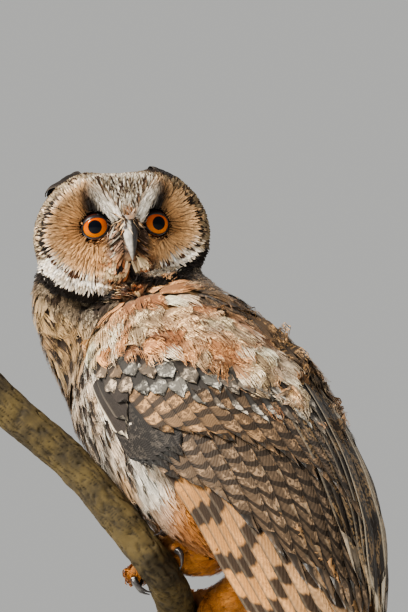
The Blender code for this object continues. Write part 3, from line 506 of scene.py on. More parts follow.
class Value:
    """A node's output to reckon with. Each sign between values adds one Math node."""

    def __init__(self, socket):
        self.socket = socket
        self.tree = socket.node.id_data

    def done(self, operation, other=0.0):
        """What one Math node makes of this value and another."""
        made = node(self.tree, "ShaderNodeMath", operation=operation)
        wire(self, made.inputs[0])
        wire(other, made.inputs[1])
        return Value(made.outputs[0])

    def __add__(self, other):
        return self.done("ADD", other)

    def __sub__(self, other):
        return self.done("SUBTRACT", other)

    def __mul__(self, other):
        return self.done("MULTIPLY", other)

    def step(self, low, high):
        """A soft step from 0 at low to 1 at high."""
        made = node(self.tree, "ShaderNodeMapRange", interpolation_type="SMOOTHSTEP")
        for label, value in (("Value", self), ("From Min", low), ("From Max", high)):
            wire(value, made.inputs[label])
        return Value(made.outputs["Result"])


def wire(source, target):
    """Joins a value to an input, or sets the input to a plain number or colour."""
    if isinstance(source, Value):
        source.tree.links.new(source.socket, target)
    elif target.type == "RGBA":
        target.default_value = (*source, 1.0)
    else:
        target.default_value = source


def object_place(tree):
    """The place on a piece that a pattern reads."""
    return Value(node(tree, "ShaderNodeTexCoord").outputs["Object"])


def most(first, *others):
    """The largest of several values."""
    for other in others:
        first = first.done("MAXIMUM", other)
    return first


def waves(turns):
    """The sine of a number of turns."""
    return (turns * (2 * pi)).done("SINE")


# %% Colours, noise and vectors as values
def blend(share, first, second):
    """Mixes two colours by a share."""
    tree = next(value.tree for value in (share, first, second) if isinstance(value, Value))
    made = node(tree, "ShaderNodeMix", data_type="RGBA")
    for place, value in ((0, share), (6, first), (7, second)):
        wire(value, made.inputs[place])
    return Value(made.outputs[2])


def noise_at(vector, scale, detail=2.0, roughness=0.5):
    """A noise value from 0 to 1 round 0.5."""
    made = node(vector.tree, "ShaderNodeTexNoise")
    for label, value in (("Vector", vector), ("Scale", scale), ("Detail", detail), ("Roughness", roughness)):
        wire(value, made.inputs[label])
    return Value(made.outputs["Fac"])


def split(value, kind="XYZ"):
    """The three parts of a vector or of a colour."""
    made = node(value.tree, "ShaderNodeSeparate" + kind)
    wire(value, made.inputs[0])
    return [Value(part) for part in made.outputs]


def joined(*parts):
    """A vector of up to three values."""
    made = node(parts[0].tree, "ShaderNodeCombineXYZ")
    for value, socket in zip(parts, made.inputs):
        wire(value, socket)
    return Value(made.outputs[0])


def raised_by(height, strength, distance):
    """The normal of a surface raised by a height, up to a distance in millimetres."""
    made = node(height.tree, "ShaderNodeBump")
    for label, value in (("Height", height), ("Strength", strength), ("Distance", distance * MM)):
        wire(value, made.inputs[label])
    return Value(made.outputs[0])


# %% Groups and shaders
def group_with(name, inputs, outputs):
    """A shader node group with named sockets: its tree, the values given to it and the inputs of its end."""
    tree = bpy.data.node_groups.new(name, "ShaderNodeTree")
    for side, sockets in (("INPUT", inputs), ("OUTPUT", outputs)):
        for label, kind in sockets.items():
            tree.interface.new_socket(label, in_out=side, socket_type="NodeSocket" + kind)
    given = {socket.name: Value(socket) for socket in node(tree, "NodeGroupInput").outputs if socket.name}
    return tree, given, node(tree, "NodeGroupOutput").inputs


def set_shader(material, sockets):
    """Joins values to the named inputs of a material's shader, or sets them."""
    shader = material.node_tree.nodes["Principled BSDF"]
    for label, value in sockets.items():
        wire(value, shader.inputs[label])
    return material


# %% The feather's markings
def feather_markings():
    """Colour and height of a feather from its UV map and its look."""
    tree, given, out = group_with(
        "feather markings",
        {"Place": "Vector", "Position": "Vector", "Ground": "Color", "Mark": "Color", "Chance": "Float",
         "Bands": "Color", "Band Count": "Float", "Edges": "Color"},
        {"Color": "Color", "Height": "Float"},
    )
    barred, streaked, wavy = split(given["Bands"], "Color")
    tipped, fringed, breadth = split(given["Edges"], "Color")
    place, along, _ = split(given["Place"])
    across = place * 2.0 - 1.0
    from_shaft = across.done("ABSOLUTE")
    shift = given["Chance"] * 37.0
    wobble = noise_at(joined(across + shift, along * 3.0), 2.5) - 0.5

    turns = along * (given["Band Count"] * 20.0) + wobble * 0.16 - from_shaft * 0.14 + given["Chance"]
    bars = waves(turns).step(0.0, 0.6) * barred
    streak_width = wobble * 0.6 + breadth
    streak = from_shaft.step(streak_width + 0.16, streak_width) * streaked
    fine = joined(across * 1.3 + shift, along * 9.0, given["Chance"])
    ripple = noise_at(fine, 1.5, 3.0, 0.7).step(0.47, 0.56)
    blotch = noise_at(fine, 0.55, 1.0).step(0.50, 0.58)
    specks = noise_at(given["Position"], 520.0, 1.5).step(0.53, 0.57)
    tip = (along + wobble * 0.3).step(0.72, 0.84) * tipped
    marked = most(bars, streak, most(ripple, blotch, specks) * wavy, tip)
    fringe = most(from_shaft.step(0.72, 0.95), along.step(0.88, 0.97)) * fringed
    painted = blend(marked, given["Ground"], given["Mark"])
    painted = blend(fringe, painted, blend(0.65, given["Ground"], colour(250, 236, 212)))

    barbs = waves(along * 46.0 - from_shaft * 5.0) * 0.5 + 0.5
    shade = barbs * 0.16 + noise_at(given["Position"], 900.0, 3.0) * 0.5 + 0.67
    # Painted shade: the root end of every feather, which the feathers above it cover, and the sides of barred
    # feathers, where one strip lies under the next, are darkened.
    shade = shade * (along.step(0.2, 0.7) * 0.3 + 0.7) * (from_shaft.step(0.76, 0.98) * barred * -0.65 + 1.0)
    rich = node(tree, "ShaderNodeHueSaturation")
    wire(1.04, rich.inputs["Saturation"])
    wire(painted, rich.inputs["Color"])
    shaded = node(tree, "ShaderNodeVectorMath", operation="SCALE")
    wire(Value(rich.outputs[0]), shaded.inputs[0])
    wire(shade, shaded.inputs["Scale"])
    wire(Value(shaded.outputs[0]), out["Color"])
    wire(barbs + from_shaft.step(0.10, 0.02) * 2.0, out["Height"])
    return tree


MARKINGS = feather_markings()


# %% Finishes for feathers
def plumage_material(name, roughness, bump, sheen=0.12):
    """A finish for feathers, which tells the shared markings what each feather looks like."""
    made = plain_material(name, (0.4, 0.3, 0.2), roughness)
    tree = made.node_tree
    markings = node(tree, "ShaderNodeGroup", node_tree=MARKINGS)
    wire(Value(node(tree, "ShaderNodeUVMap", uv_map="Feather").outputs[0]), markings.inputs["Place"])
    wire(object_place(tree), markings.inputs["Position"])
    for kind, extra in (("ground", ""), ("mark", "Chance"), ("bands", "Band Count"), ("edges", "")):
        told = node(tree, "ShaderNodeAttribute", attribute_name=kind).outputs
        wire(Value(told["Color"]), markings.inputs[kind.capitalize()])
        if extra:
            wire(Value(told["Alpha"]), markings.inputs[extra])
    height = Value(markings.outputs["Height"])
    return set_shader(made, {"Base Color": Value(markings.outputs["Color"]), "Specular IOR Level": 0.22,
                             "Normal": raised_by(height, bump, 0.15), "Sheen Weight": sheen})


SOFT_PLUMAGE = plumage_material("soft_plumage", 0.85, 0.35)
FLIGHT_PLUMAGE = plumage_material("flight_plumage", 0.65, 0.6)
TUFT_PLUMAGE = plumage_material("tuft_plumage", 0.9, 0.4, sheen=0.0)
print("plumage finishes ready")

# %% [markdown]
# ## The folded wings
#
# A folded wing is a stack of rows: long primaries at the bottom, secondaries over them, then greater, median
# and lesser coverts, and the scapulars of the shoulder on top. Each place on a wing is its height on the
# spine and its share of the way from the front edge to the rear edge, so one row is a short list of numbers.

# %% The wing's surface
# Height, backward shift, half width, depth of front and depth of back of the body that the wings follow
WING_SECTIONS = [
    (62, 2, 37, 46, 42), (54, 1, 45, 54, 48), (38, 0, 55, 60, 55), (0, 0, 63, 63, 62), (-30, 0, 64, 63, 65),
    (-60, 1, 61, 59, 66), (-90, 3, 55, 49, 65), (-120, 6, 47, 39, 60), (-150, 8, 38, 30, 50),
    (-180, 9, 29, 20, 38), (-210, 8, 21, 12, 25), (-240, 6, 13, 6, 13),
]
# Height and the angles of the front and the rear edge
WING_EDGES = [
    (62, 90, 136), (54, 80, 150), (38, 77, 158), (0, 86, 169), (-30, 88, 176), (-60, 89, 178),
    (-90, 91, 178.5), (-120, 89, 178.5), (-150, 90, 178), (-180, 97, 177), (-210, 108, 175),
    (-240, 124, 170),
]
WING_CROSSING = {"left": 8.0, "right": -9.0}
SIDES = {"left": 1, "right": -1}


def read_table(table, at):
    """The table's other columns at a value of its first, along straight lines between rows."""
    rows = np.array(sorted(table), float)
    return [np.interp(at, rows[:, 0], column) for column in rows[:, 1:].T]


def wing_surface(side, heights, shares, lift=0.0):
    """World points over a wing."""
    heights, shares = np.broadcast_arrays(np.asarray(heights, float), np.asarray(shares, float))
    back_shift, half_width, front, back = read_table(WING_SECTIONS, heights)
    front_edge, rear_edge = read_table(WING_EDGES, heights)
    rear_edge = rear_edge + WING_CROSSING[side] * soft(heights, 40.0, 0.0)
    turn = np.radians(front_edge + (rear_edge - front_edge) * shares)
    depth = np.where(np.cos(turn) > 0, front, back)
    x = SIDES[side] * (half_width + lift) * np.sin(turn)
    y = back_shift - (depth + lift) * np.cos(turn)
    return from_frame(TRUNK, bent(np.stack([x, y, heights], -1)))


def wing_lines(side, roots, tips, steps):
    """Shafts over a wing, straight in height and share."""
    way = np.linspace(0, 1, steps + 1)[None, :, None]
    places = np.asarray(roots)[:, None, :] * (1 - way) + np.asarray(tips)[:, None, :] * way
    lines = wing_surface(side, places[..., 0], places[..., 1])
    return lines, unit(wing_surface(side, places[..., 0], places[..., 1], 1.0) - lines)


def between(first, last, count, bow=0.0):
    """Places from first to last, bowed in their first value, each a little off."""
    t = np.linspace(0, 1, count)[:, None]
    places = np.array(first, float) * (1 - t) + np.array(last, float) * t
    places[:, 0] += bow * np.sin(pi * t[:, 0])
    return places + DRAW.uniform(-1, 1, (count, 2)) * (1.2, 0.004)


print("left wing tip at", np.round(wing_surface("left", -236.0, 0.3), 3))

# %% Colours of the plumage
CREAM, WHITE = colour(238, 214, 178), colour(246, 242, 236)
BUFF, RUFOUS, TAN = colour(208, 152, 98), colour(176, 122, 78), colour(190, 156, 116)
DARK_BROWN, BLACK_BROWN, BAR_BROWN = colour(58, 43, 33), colour(32, 26, 23), colour(34, 27, 21)


def mixed(shares, first, second):
    """A colour for each feather, between two."""
    shares = np.clip(np.asarray(shares, float), 0, 1)[:, None]
    return first * (1 - shares) + second * shares


# %% Rows of the wing
def wing_row(coat, side, roots, tips, widths, look, steps=10, cols=6, tilt=0.9, **shape):
    """Grows one row, each feather's front edge lying over the one before it."""
    lines, ups = wing_lines(side, roots, tips, steps)
    coat.grow(lines, ups, widths, look, cols=cols, tilt=-SIDES[side] * tilt, **shape)


def spread_row(shares, heights, count):
    """Places along a line through the wing given as shares and heights."""
    at = np.linspace(shares[0], shares[-1], count)
    places = np.interp(at, shares, heights) + DRAW.uniform(-1.2, 1.2, count)
    return np.stack([places, at + DRAW.uniform(-0.004, 0.004, count)], 1)


def stepped(count, step, scatter=0.04):
    """Where each feather's bars start, so that neighbours' bars meet in steps."""
    return np.arange(count) * step + DRAW.normal(0, scatter, count)


# Shares over the wing, and the heights at which a row's feathers end there
SECONDARY_ENDS = (
    (0.05, 0.12, 0.18, 0.27, 0.42, 0.55, 0.70, 0.86),
    (-70, -82, -92, -118, -148, -162, -170, -172),
)
MEDIAN_ENDS = (
    (0.02, 0.10, 0.17, 0.30, 0.38, 0.46, 0.60, 0.86),
    (-4, -14, -21, -35, -46, -58, -66, -76),
)


def grow_primaries(coat, side):
    """The long, boldly barred feathers that show at the bottom of the wing."""
    n = 11
    reach = np.array([-206, -224, -236, -238, -232, -222, -210, -198, -187, -178, -170])
    roots = between((-40, 0.03), (-40, 0.40), n)
    tips = np.stack([reach + DRAW.uniform(-1, 1, n), np.linspace(0.07, 0.82, n)], 1)
    ground = mixed(np.linspace(-0.3, 1.1, n), colour(202, 150, 98), colour(166, 140, 112))
    look = looks(n, ground, colour(44, 35, 28), bars=0.97, bar_count=6.0, vermiculation=0.25, fringe=0.2,
                 uneven=0.08, phase=stepped(n, 0.12, 0.07) + 0.45)
    wing_row(coat, side, roots, tips, 7.0, look, steps=20, rows=30, root=(0.5, 0.80, 1.7), lift=(-2.0, 0.3),
             camber=0.35, tilt=0.8, fray=0.01)


# %% Secondaries and tertials
def barred(n, ground, counts):
    """The look of secondaries and greater coverts, whose bars meet in steps."""
    return looks(n, ground, BAR_BROWN, bars=0.95, bar_count=counts, vermiculation=0.7, uneven=0.12,
                 phase=stepped(n, 0.5, 0.09))


def grow_secondaries(coat, side):
    """The secondaries, and over their rear ends the broad tertials, which look like the back."""
    n = 12
    tips = spread_row(*SECONDARY_ENDS, n)
    roots = np.stack([np.linspace(-14, -30, n), tips[:, 1] * 0.95 + 0.05], 1)
    ground = mixed(np.linspace(0, 1, n), colour(146, 121, 96), colour(122, 104, 86))
    look = barred(n, ground, (roots[:, 0] - tips[:, 0]) / 9.0)
    wing_row(coat, side, roots, tips, 7.6, look, steps=16, rows=24, root=(0.5, 0.88), lift=(-1.8, 1.3),
             tilt=1.2, fray=0.015)
    n = 6
    roots = between((-6, 0.76), (-8, 1.02), n)
    tips = between((-150, 0.78), (-172, 0.99), n)
    look = looks(n, colour(136, 112, 82), colour(34, 27, 22), bars=0.45, bar_count=15.0, streak=0.4,
                 vermiculation=1.0, fringe=(0.3, 0.1, 0.1, 0.3, 0.4, 0.7), phase=stepped(n, 0.4))
    wing_row(coat, side, roots, tips, 7.8, look, steps=16, rows=24, root=(0.5, 0.86), lift=(-1.6, 1.6),
             camber=0.5, tilt=1.2)


# %% Greater coverts, primary coverts and alula
def grow_greater_coverts(coat, side):
    """The greater coverts, the slate-grey coverts of the primaries and the alula at the wing's bend."""
    n = 11
    tips = between((-50, 0.16), (-124, 0.90), n, bow=3.0)
    roots = between((8, 0.13), (-34, 0.84), n)
    greyer = np.linspace(0, 1, n) + DRAW.normal(0, 0.15, n)
    ground = mixed(greyer, colour(168, 132, 95), colour(130, 109, 88))
    look = barred(n, ground, (roots[:, 0] - tips[:, 0]) / 11.0)
    wing_row(coat, side, roots, tips, 7.8, look, rows=16, root=(0.5, 0.80), lift=(-1.6, 1.8), tilt=1.2,
             fray=0.02)
    n = 7
    roots = between((14, -0.05), (4, 0.15), n)
    tips = between((-52, -0.07), (-64, 0.14), n, bow=-6.0)
    look = looks(n, colour(62, 57, 52), colour(22, 19, 18), bars=0.3, bar_count=4.0, vermiculation=0.9)
    wing_row(coat, side, roots, tips, 6.4, look, rows=14, root=(0.5, 0.86, 2.4), lift=(-1.4, 1.9), tilt=0.6,
             fray=0.01)
    n = 3
    roots = between((20, -0.06), (14, 0.05), n)
    tips = between((-32, -0.06), (-16, 0.06), n)
    look = looks(n, colour(44, 38, 34), BLACK_BROWN, vermiculation=0.5, fringe=(0.9, 0.1, 0.0))
    wing_row(coat, side, roots, tips, 5.6, look, steps=8, rows=12, root=(0.5, 0.80), lift=(-1.2, 2.2),
             fray=0.02)


# %% Median coverts
def grow_median_coverts(coat, side):
    """Two rows of scale-like coverts, pale or tawny at the end and nearly black at the root."""
    n = 13
    for higher in (13.0, 0.0):
        tips = spread_row(*MEDIAN_ENDS, n) + (higher, 0.015 if higher else 0.0)
        roots = tips + np.stack([np.linspace(24, 34, n), np.linspace(0.09, 0.03, n)], 1)
        tawny = DRAW.uniform(0, 1, n)
        phase = 0.80 + DRAW.uniform(-0.06, 0.08, n)
        ground = mixed(1.3 * tawny - 0.3, colour(184, 181, 172), colour(182, 150, 116))
        look = looks(n, ground, colour(26, 22, 21), bars=0.95, bar_count=1.1, streak=0.8 * (tawny > 0.7),
                     breadth=0.25, vermiculation=0.8, phase=phase)
        wing_row(coat, side, roots, tips, 6.2, look, steps=8, rows=12, root=(0.5, 0.72), lift=(-1.4, 1.6),
                 fray=0.06)


for side in SIDES:
    wing = Coat()
    for grow in (grow_primaries, grow_secondaries, grow_greater_coverts, grow_median_coverts):
        grow(wing, side)
    wing.finish("plumage_wing_" + side, FLIGHT_PLUMAGE, ["wing_" + side], "flight_feathers")

# %% [markdown]
# ## The tail
#
# Twelve long feathers fan out under the wing tips, the middle pair on top. They start inside the rump, where
# the tail coverts hide their roots.

# %% The tail's feathers
TAIL_ROOT, TAIL_TIP = (24.0, -84.0), (10.0, -238.0)
TAIL_HALF_WIDTHS, TAIL_ARCH, TAIL_FEATHERS = (16.0, 30.0), 5.0, 12


def tail_surface(along, across, lift=0.0):
    """World points over the tail."""
    y = TAIL_ROOT[0] + (TAIL_TIP[0] - TAIL_ROOT[0]) * along - TAIL_ARCH * across * across + lift
    z = TAIL_ROOT[1] + (TAIL_TIP[1] - TAIL_ROOT[1]) * along
    half = TAIL_HALF_WIDTHS[0] + (TAIL_HALF_WIDTHS[1] - TAIL_HALF_WIDTHS[0]) * along**0.7
    return from_frame(TRUNK, bent(np.stack([half * across, y, z], -1)))


# From the middle outwards the feathers lie lower and end sooner
across = np.linspace(-1, 1, TAIL_FEATHERS)
order = np.abs(across)[:, None]
along = np.linspace(0.16, 1, 17) * (1 - 0.05 * order**3)
spread = across[:, None] * (0.78 + 0.16 * along)
lines = tail_surface(along, spread, 1.4 - 2.0 * order)
ups = unit(tail_surface(along, spread, 2.4 - 2.0 * order) - lines)
tail = Coat()
look = looks(TAIL_FEATHERS, TAN, DARK_BROWN, bars=0.9, bar_count=8.0, fringe=0.3, vermiculation=0.35,
             uneven=0.05)
tail.grow(lines, ups, 5.6, look, rows=24, cols=6, root=(0.6, 0.90), lift=(-1.2, 0.0),
          tilt=0.5 * np.sign(across), fray=0.01)
tail.finish("plumage_tail", FLIGHT_PLUMAGE, ["tail"], "flight_feathers")

# %% [markdown]
# ## The body's coat
#
# The breast, back, belly and neck carry thousands of soft feathers. Their roots are scattered so that no two
# stand closer than the feathers are wide, each lies down the body towards the tail, and its colour comes
# from where it grows.

# %% Scattering roots
WING_SOLIDS = [tree_of(["wing_" + side]) for side in SIDES]
LEG_SOLIDS = [tree_of(["leg_" + side]) for side in SIDES]
FOOT_MIDDLES = np.array([points_of(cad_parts["foot_" + side].data).mean(0) for side in SIDES])
HEAD_REACH = (50.5, 39.5)


def scatter(wanted, spacing, tries=60000):
    """Random places on the surface at least their spacing apart, where `wanted` says so."""
    corners = np.array([[p.vertices[0], p.vertices[k], p.vertices[k + 1]]
                        for p in skin.data.polygons for k in (1, 2) if k + 1 < len(p.vertices)])
    corners = corners[wanted(surface_points[corners].mean(1))]
    first, second, third = surface_points[corners].transpose(1, 0, 2)
    areas = np.linalg.norm(np.cross(second - first, third - first), axis=1)
    chosen = DRAW.choice(len(corners), tries, p=areas / areas.sum())
    out = np.sqrt(DRAW.uniform(0, 1, (tries, 1)))
    over = out * DRAW.uniform(0, 1, (tries, 1))
    places = first[chosen] + out * (second - first)[chosen] + over * (third - second)[chosen]
    apart = spacing(places) * MM
    cell = apart.max()
    taken, kept = {}, []
    for i, (place, room) in enumerate(zip(places, apart)):
        x, y, z = (place // cell).astype(int).tolist()
        cells = product((x - 1, x, x + 1), (y - 1, y, y + 1), (z - 1, z, z + 1))
        near = [k for here in cells for k in taken.get(here, ())]
        if all(((places[k] - place) ** 2).sum() > room * room for k in near):
            taken.setdefault((x, y, z), []).append(i)
            kept.append(i)
    return places[kept]


# %% Where body feathers grow
def wing_share(places):
    """Height of places and their share of the way over the wing, from its front edge to its rear edge."""
    heights, angles = round_trunk(places)
    front_edge, rear_edge = read_table(WING_EDGES, heights)
    crossing = np.where(angles >= 0, WING_CROSSING["left"], WING_CROSSING["right"])
    rear_edge = rear_edge + crossing * soft(heights, 40.0, 0.0)
    return heights, (np.abs(angles) - front_edge) / (rear_edge - front_edge)


def on_wing(places):
    """Which places are on a folded wing."""
    return np.min([distances(tree, places) for tree in WING_SOLIDS], axis=0) < 1.6


def near_leg(places):
    """How far places belong to a leg and to a foot, and that foot's middle."""
    to_leg = np.min([distances(tree, places) for tree in LEG_SOLIDS], axis=0)
    to_middles = np.linalg.norm(places[:, None] - FOOT_MIDDLES, axis=2)
    middle = FOOT_MIDDLES[np.argmin(to_middles, axis=1)]
    return soft(to_leg, 4.0, 1.0)[:, None], soft(distances(FEET, places), 2.4, 1.4)[:, None], middle


# Angle up from the face's level, then shares of the way to the head's outline: where the dark line round the
# disc starts and ends, and where the black rim outside the white band starts and ends
FACE_RIM = [
    (-90, 0.70, 0.72, 0.83, 0.88), (-75, 0.70, 0.72, 0.85, 0.92), (-60, 0.71, 0.75, 0.895, 0.97),
    (-40, 0.79, 0.84, 0.965, 1.03), (-20, 0.86, 0.90, 0.985, 1.03), (-10, 0.895, 0.932, 1.0, 1.02),
    (0, 0.90, 0.93, 1.0, 1.02), (30, 0.91, 0.935, 1.0, 1.0), (60, 0.915, 0.93, 1.0, 1.0),
    (90, 0.90, 0.915, 0.97, 0.97),
]
FACE_MIDDLE = -1.5


def on_disc(local):
    """Share of the way to the rim, seen from the front, and angle up from the level."""
    x = local[..., 0] - FACE_MIDDLE
    angle = np.degrees(np.arctan2(local[..., 2], np.abs(x)))
    # The head is turned and nods, so on the owl's left the lower rim is closer in
    closer = 0.13 * soft(angle, -8, -28) * soft(x, 2, 8)
    return np.hypot(x / HEAD_REACH[0], local[..., 2] / HEAD_REACH[1]) + closer, angle


def on_face(places, margin=0.0):
    """Which places are on the face or its rim."""
    local = to_frame(HEAD, places)
    share, angle = on_disc(local)
    in_front = (local[..., 1] < 6) & (np.abs(local[..., 2]) < 46)
    return in_front & (share < read_table(FACE_RIM, angle)[3] + margin)


# %% Which way body feathers lie
def lie_of(places):
    """Which way feathers lie: back over the head, then down the neck and the body to the tail."""
    straight = unbent(to_frame(TRUNK, places))
    down = from_frame(TRUNK, bent(straight - [0, 0, 1.0])) - places
    local = to_frame(HEAD, places)
    over_head = np.stack([local[:, 0] * 0.004, np.full(len(local), 1.0), -0.45 - local[:, 1] * 0.015], -1)
    over_head = over_head @ HEAD[:3, :3].T
    from_head = np.linalg.norm(local, axis=1)
    below_head = soft(local[:, 2], -18, -44) * soft(from_head, 34, 54)
    share = np.maximum(below_head, soft(from_head, 52, 74))[:, None]
    lies = unit(unit(over_head) * (1 - share) + unit(down) * share)
    on_leg, on_toe, middle = near_leg(places)
    lies = unit(lies * (1 - on_leg) + unit(middle - places) * on_leg)
    return unit(lies * (1 - on_toe) + unit(places - middle) * on_toe)


# %% Colours down the body
def drift(places, size, seed):
    """A smooth random value round 0 in patches of a size in millimetres."""
    return np.array([noise.noise(Vector(p) / (size * MM) + Vector((seed, 0.5, 0.5))) for p in places])


def head_distances(places):
    """How far places are from the head's middle, in millimetres."""
    return np.linalg.norm(to_frame(HEAD, places), axis=1)


def body_looks(places):
    """What a body feather looks like where it grows."""
    heights, angles = round_trunk(places)
    count, side_turn = len(places), np.abs(angles)
    chance = DRAW.uniform(0, 1, count)
    patch = drift(places, 14.0, 3.0) * 1.4
    head = soft(head_distances(places), 60, 52)
    flank = soft(side_turn, 20, 44) * soft(heights, 68, 44) * soft(side_turn, 130, 112)
    back = soft(side_turn, 112, 132)
    belly = soft(heights, -46, -66) * (1 - back)
    ground = mixed(0.5 + patch, colour(158, 126, 89), colour(188, 160, 122))
    pale = mixed(0.35 + patch + 0.3 * (chance - 0.5), colour(238, 234, 224), colour(222, 184, 142))
    ground = mixed(flank, ground, pale)
    ground = mixed(back, ground, mixed(0.5 + patch, colour(138, 110, 78), colour(198, 152, 104)))
    ground = mixed(belly, ground, mixed(chance, colour(156, 100, 50), colour(186, 130, 74)))
    speckle = mixed(0.5 + 2 * patch, colour(136, 121, 101), colour(172, 159, 140))
    ground = mixed(head, ground, mixed(chance < 0.3, speckle, colour(60, 48, 38)))
    bold = drift(places, 9.0, 8.0) + 0.4 * (chance - 0.5) > -0.10 + 0.32 * soft(heights, 16, -14)
    # Down the neck the dark streaks run in lanes
    lanes = np.array([noise.noise(Vector((turn / 6.0, z / 26.0, 3.0))) for turn, z in zip(angles, heights)])
    bold = np.where((side_turn < 110) & (heights > 14 + 0.5 * side_turn), lanes > 0.10, bold).astype(float)
    mark = mixed(belly, np.tile(colour(46, 34, 26), (count, 1)), colour(190, 130, 78))
    plain = 1 - 0.9 * belly
    streak = (0.4 + 0.6 * bold) * plain * (1 - 0.5 * head)
    bars = 0.6 * plain * (1 - head) * flank * bold
    return looks(count, ground, mark, bars=bars, bar_count=2.2, streak=streak,
                 breadth=0.22 + 0.22 * bold * (1 - head), uneven=0.08,
                 vermiculation=(0.15 + 0.1 * flank + 0.6 * back) * plain + 0.5 * head)


# %% Growing the body's coat
# Shares over the wing, and how low the shoulder's feathers reach there
SHOULDER_ENDS = (
    (0.0, 0.09, 0.21, 0.32, 0.43, 0.55, 0.70, 1.0),
    (40, 30, 22, 10, -2, -26, -48, -64),
)


def on_shoulder(places):
    """Which places carry the wing's small coverts and the scapulars."""
    heights, share = wing_share(places)
    return (heights > np.interp(share, *SHOULDER_ENDS)) & on_wing(places)


def body_wanted(places):
    """Which places carry the body's soft feathers."""
    heights, _ = round_trunk(places)
    return ~(on_wing(places) & (heights < 60)) & ~on_face(places, -0.01) & (heights > -150)


def body_spacing(places):
    """Feathers stand closer on the head and the legs, and closest on the toes."""
    on_leg, on_toe, _ = near_leg(places)
    small = np.maximum(soft(head_distances(places), 62, 54), on_leg[:, 0])
    return 6.4 - 3.9 * small - 0.7 * on_toe[:, 0]


def grow_scattered(name, wanted, spacing, look_of, lift, slot="body_feathers", **shape):
    """One piece of feathers as large as their spacing. Lift is a root's, a tip's and the tips' range."""
    roots = scatter(wanted, spacing)
    sizes = spacing(roots)
    lies = lie_of(roots) + DRAW.normal(0, 0.10, roots.shape)
    lengths = sizes * DRAW.uniform(3.2, 4.2, len(roots)) * MM
    lines, ups = walk_surface(roots, lies, lengths, 6)
    loft = np.clip(sizes / 5.0, 0, 1.2)
    calm = 1 - 0.9 * soft(wing_share(roots)[1], 0.84, 0.92)
    tips = (lift[1] + lift[2] * loft * DRAW.uniform(0, 1, len(roots))) * calm
    widths = sizes * 0.95 * DRAW.uniform(0.85, 1.15, len(roots))
    coat = Coat()
    lifts = np.stack([lift[0] * loft, tips], 1)
    coat.grow(lines, ups, widths, look_of(roots), root=(0.45, 0.70), lift=lifts, camber=0.5, fray=0.35,
              stray=0.08, **shape)
    coat.finish(name, SOFT_PLUMAGE, slot=slot)


def zone(places):
    """0 on the head, 1 on the neck and upper body, 2 below."""
    return np.where(head_distances(places) < 60, 0, np.where(round_trunk(places)[0] > 20, 1, 2))


for number, (part, strands) in enumerate((("head", 7), ("upper", 15), ("lower", 15))):
    grow_scattered("plumage_" + part, lambda places: body_wanted(places) & (zone(places) == number),
                   body_spacing, body_looks, (-2.2, 0.5, 0.7), rows=5, cols=strands)

# %% [markdown]
# ## The shoulders
#
# Over the wing's long rows lie the small coverts and the scapulars. In the photo they are the most mottled
# part: cream, orange and rust with dark wavy lines. They are scattered like the body's feathers, because no
# clear rows show there, and grow larger towards the back.

# %% Coverts and scapulars
def shoulder_spacing(places):
    """The scapulars towards the back are larger than the small coverts in front."""
    _, share = wing_share(places)
    return 5.2 + 1.6 * soft(share, 0.1, 0.6)


def shoulder_looks(places):
    """Mottled feathers: creamy in front, rusty in the middle, then large pale spots and a dark back."""
    heights, share = wing_share(places)
    count = len(places)
    patch, bold = drift(places, 16.0, 1.0), drift(places, 6.0, 5.0) + DRAW.normal(0, 0.20, count)
    tawny = 0.5 + 1.6 * patch + DRAW.normal(0, 0.15, count)
    ground = mixed(tawny, colour(255, 230, 190), colour(250, 192, 140))
    ground = mixed((bold > 0.24) & (heights < 48), ground, colour(255, 240, 212))
    dusky = soft(drift(places, 7.0, 12.0), 0.08, 0.26) * soft(share, 0.10, 0.25)
    ground = mixed(0.55 * dusky, ground, colour(150, 104, 70))
    far = soft(share, 0.90, 0.98)
    ground = mixed(far, ground, mixed(0.5 + 2 * patch, colour(112, 92, 70), colour(176, 140, 100)))
    front = soft(share, 0.22, 0.08)
    streak = (bold < -0.12) * (0.8 - 0.4 * front)
    mark = mixed(far, mixed(1.5 * patch + 0.5, colour(66, 42, 30), colour(118, 72, 48)), colour(34, 27, 22))
    fine = np.where(bold > 0.24, 0.40, 0.18 + 0.52 * soft(share, 0.10, 0.30))
    return looks(count, ground, mark, bars=0.5 * (bold < -0.15) * (1 - front), bar_count=2.5,
                 streak=np.maximum(streak, 0.9 * far), breadth=0.16 + 0.2 * (bold < -0.15), uneven=0.07,
                 vermiculation=np.maximum(fine + 0.15 * dusky, 0.9 * far))


grow_scattered("plumage_shoulders", on_shoulder, shoulder_spacing, shoulder_looks, (-1.6, 1.3, 0.7),
               "flight_feathers", rows=6, cols=17)

# %% [markdown]
# ## The face
#
# An owl's face is two dished discs of stiff, hair-like feathers that stand round each eye like the spokes of
# a wheel, closed by a rim of short, dense feathers. The spokes are narrow blades that lie away from the eye.
# Their colour comes from the share of the way to the head's outline and from the angle there.

# %% Round the eyes
EYE_PLACE, EYE_RADIUS, EYE_OUTWARD = np.array([16.4, -17.8, 5.0]), 9.3, radians(14.0)
LID_OPENING, LID_SLANT = (6.9, 5.8), radians(-14.0)


def eye_axes(side):
    """An eye's middle and the ways it looks, outwards and up, in the head's frame."""
    sign = SIDES[side]
    look = np.array([sign * sin(EYE_OUTWARD), -cos(EYE_OUTWARD), 0.0])
    outward = np.array([sign * cos(EYE_OUTWARD), sin(EYE_OUTWARD), 0.0])
    return EYE_PLACE * (sign, 1, 1), look, outward, np.array([0.0, 0.0, 1.0])


def from_eye(local):
    """Millimetres outwards and up from the nearer eye's middle, and the way away from it."""
    out, up, away = np.empty(len(local)), np.empty(len(local)), np.empty((len(local), 3))
    for side, sign in SIDES.items():
        here = local[:, 0] * sign >= 0
        place, look, outward, upward = eye_axes(side)
        offset = local[here] - place
        out[here], up[here] = offset @ outward, offset @ upward
        away[here] = unit(offset - (offset @ look)[:, None] * look)
    return out, up, away


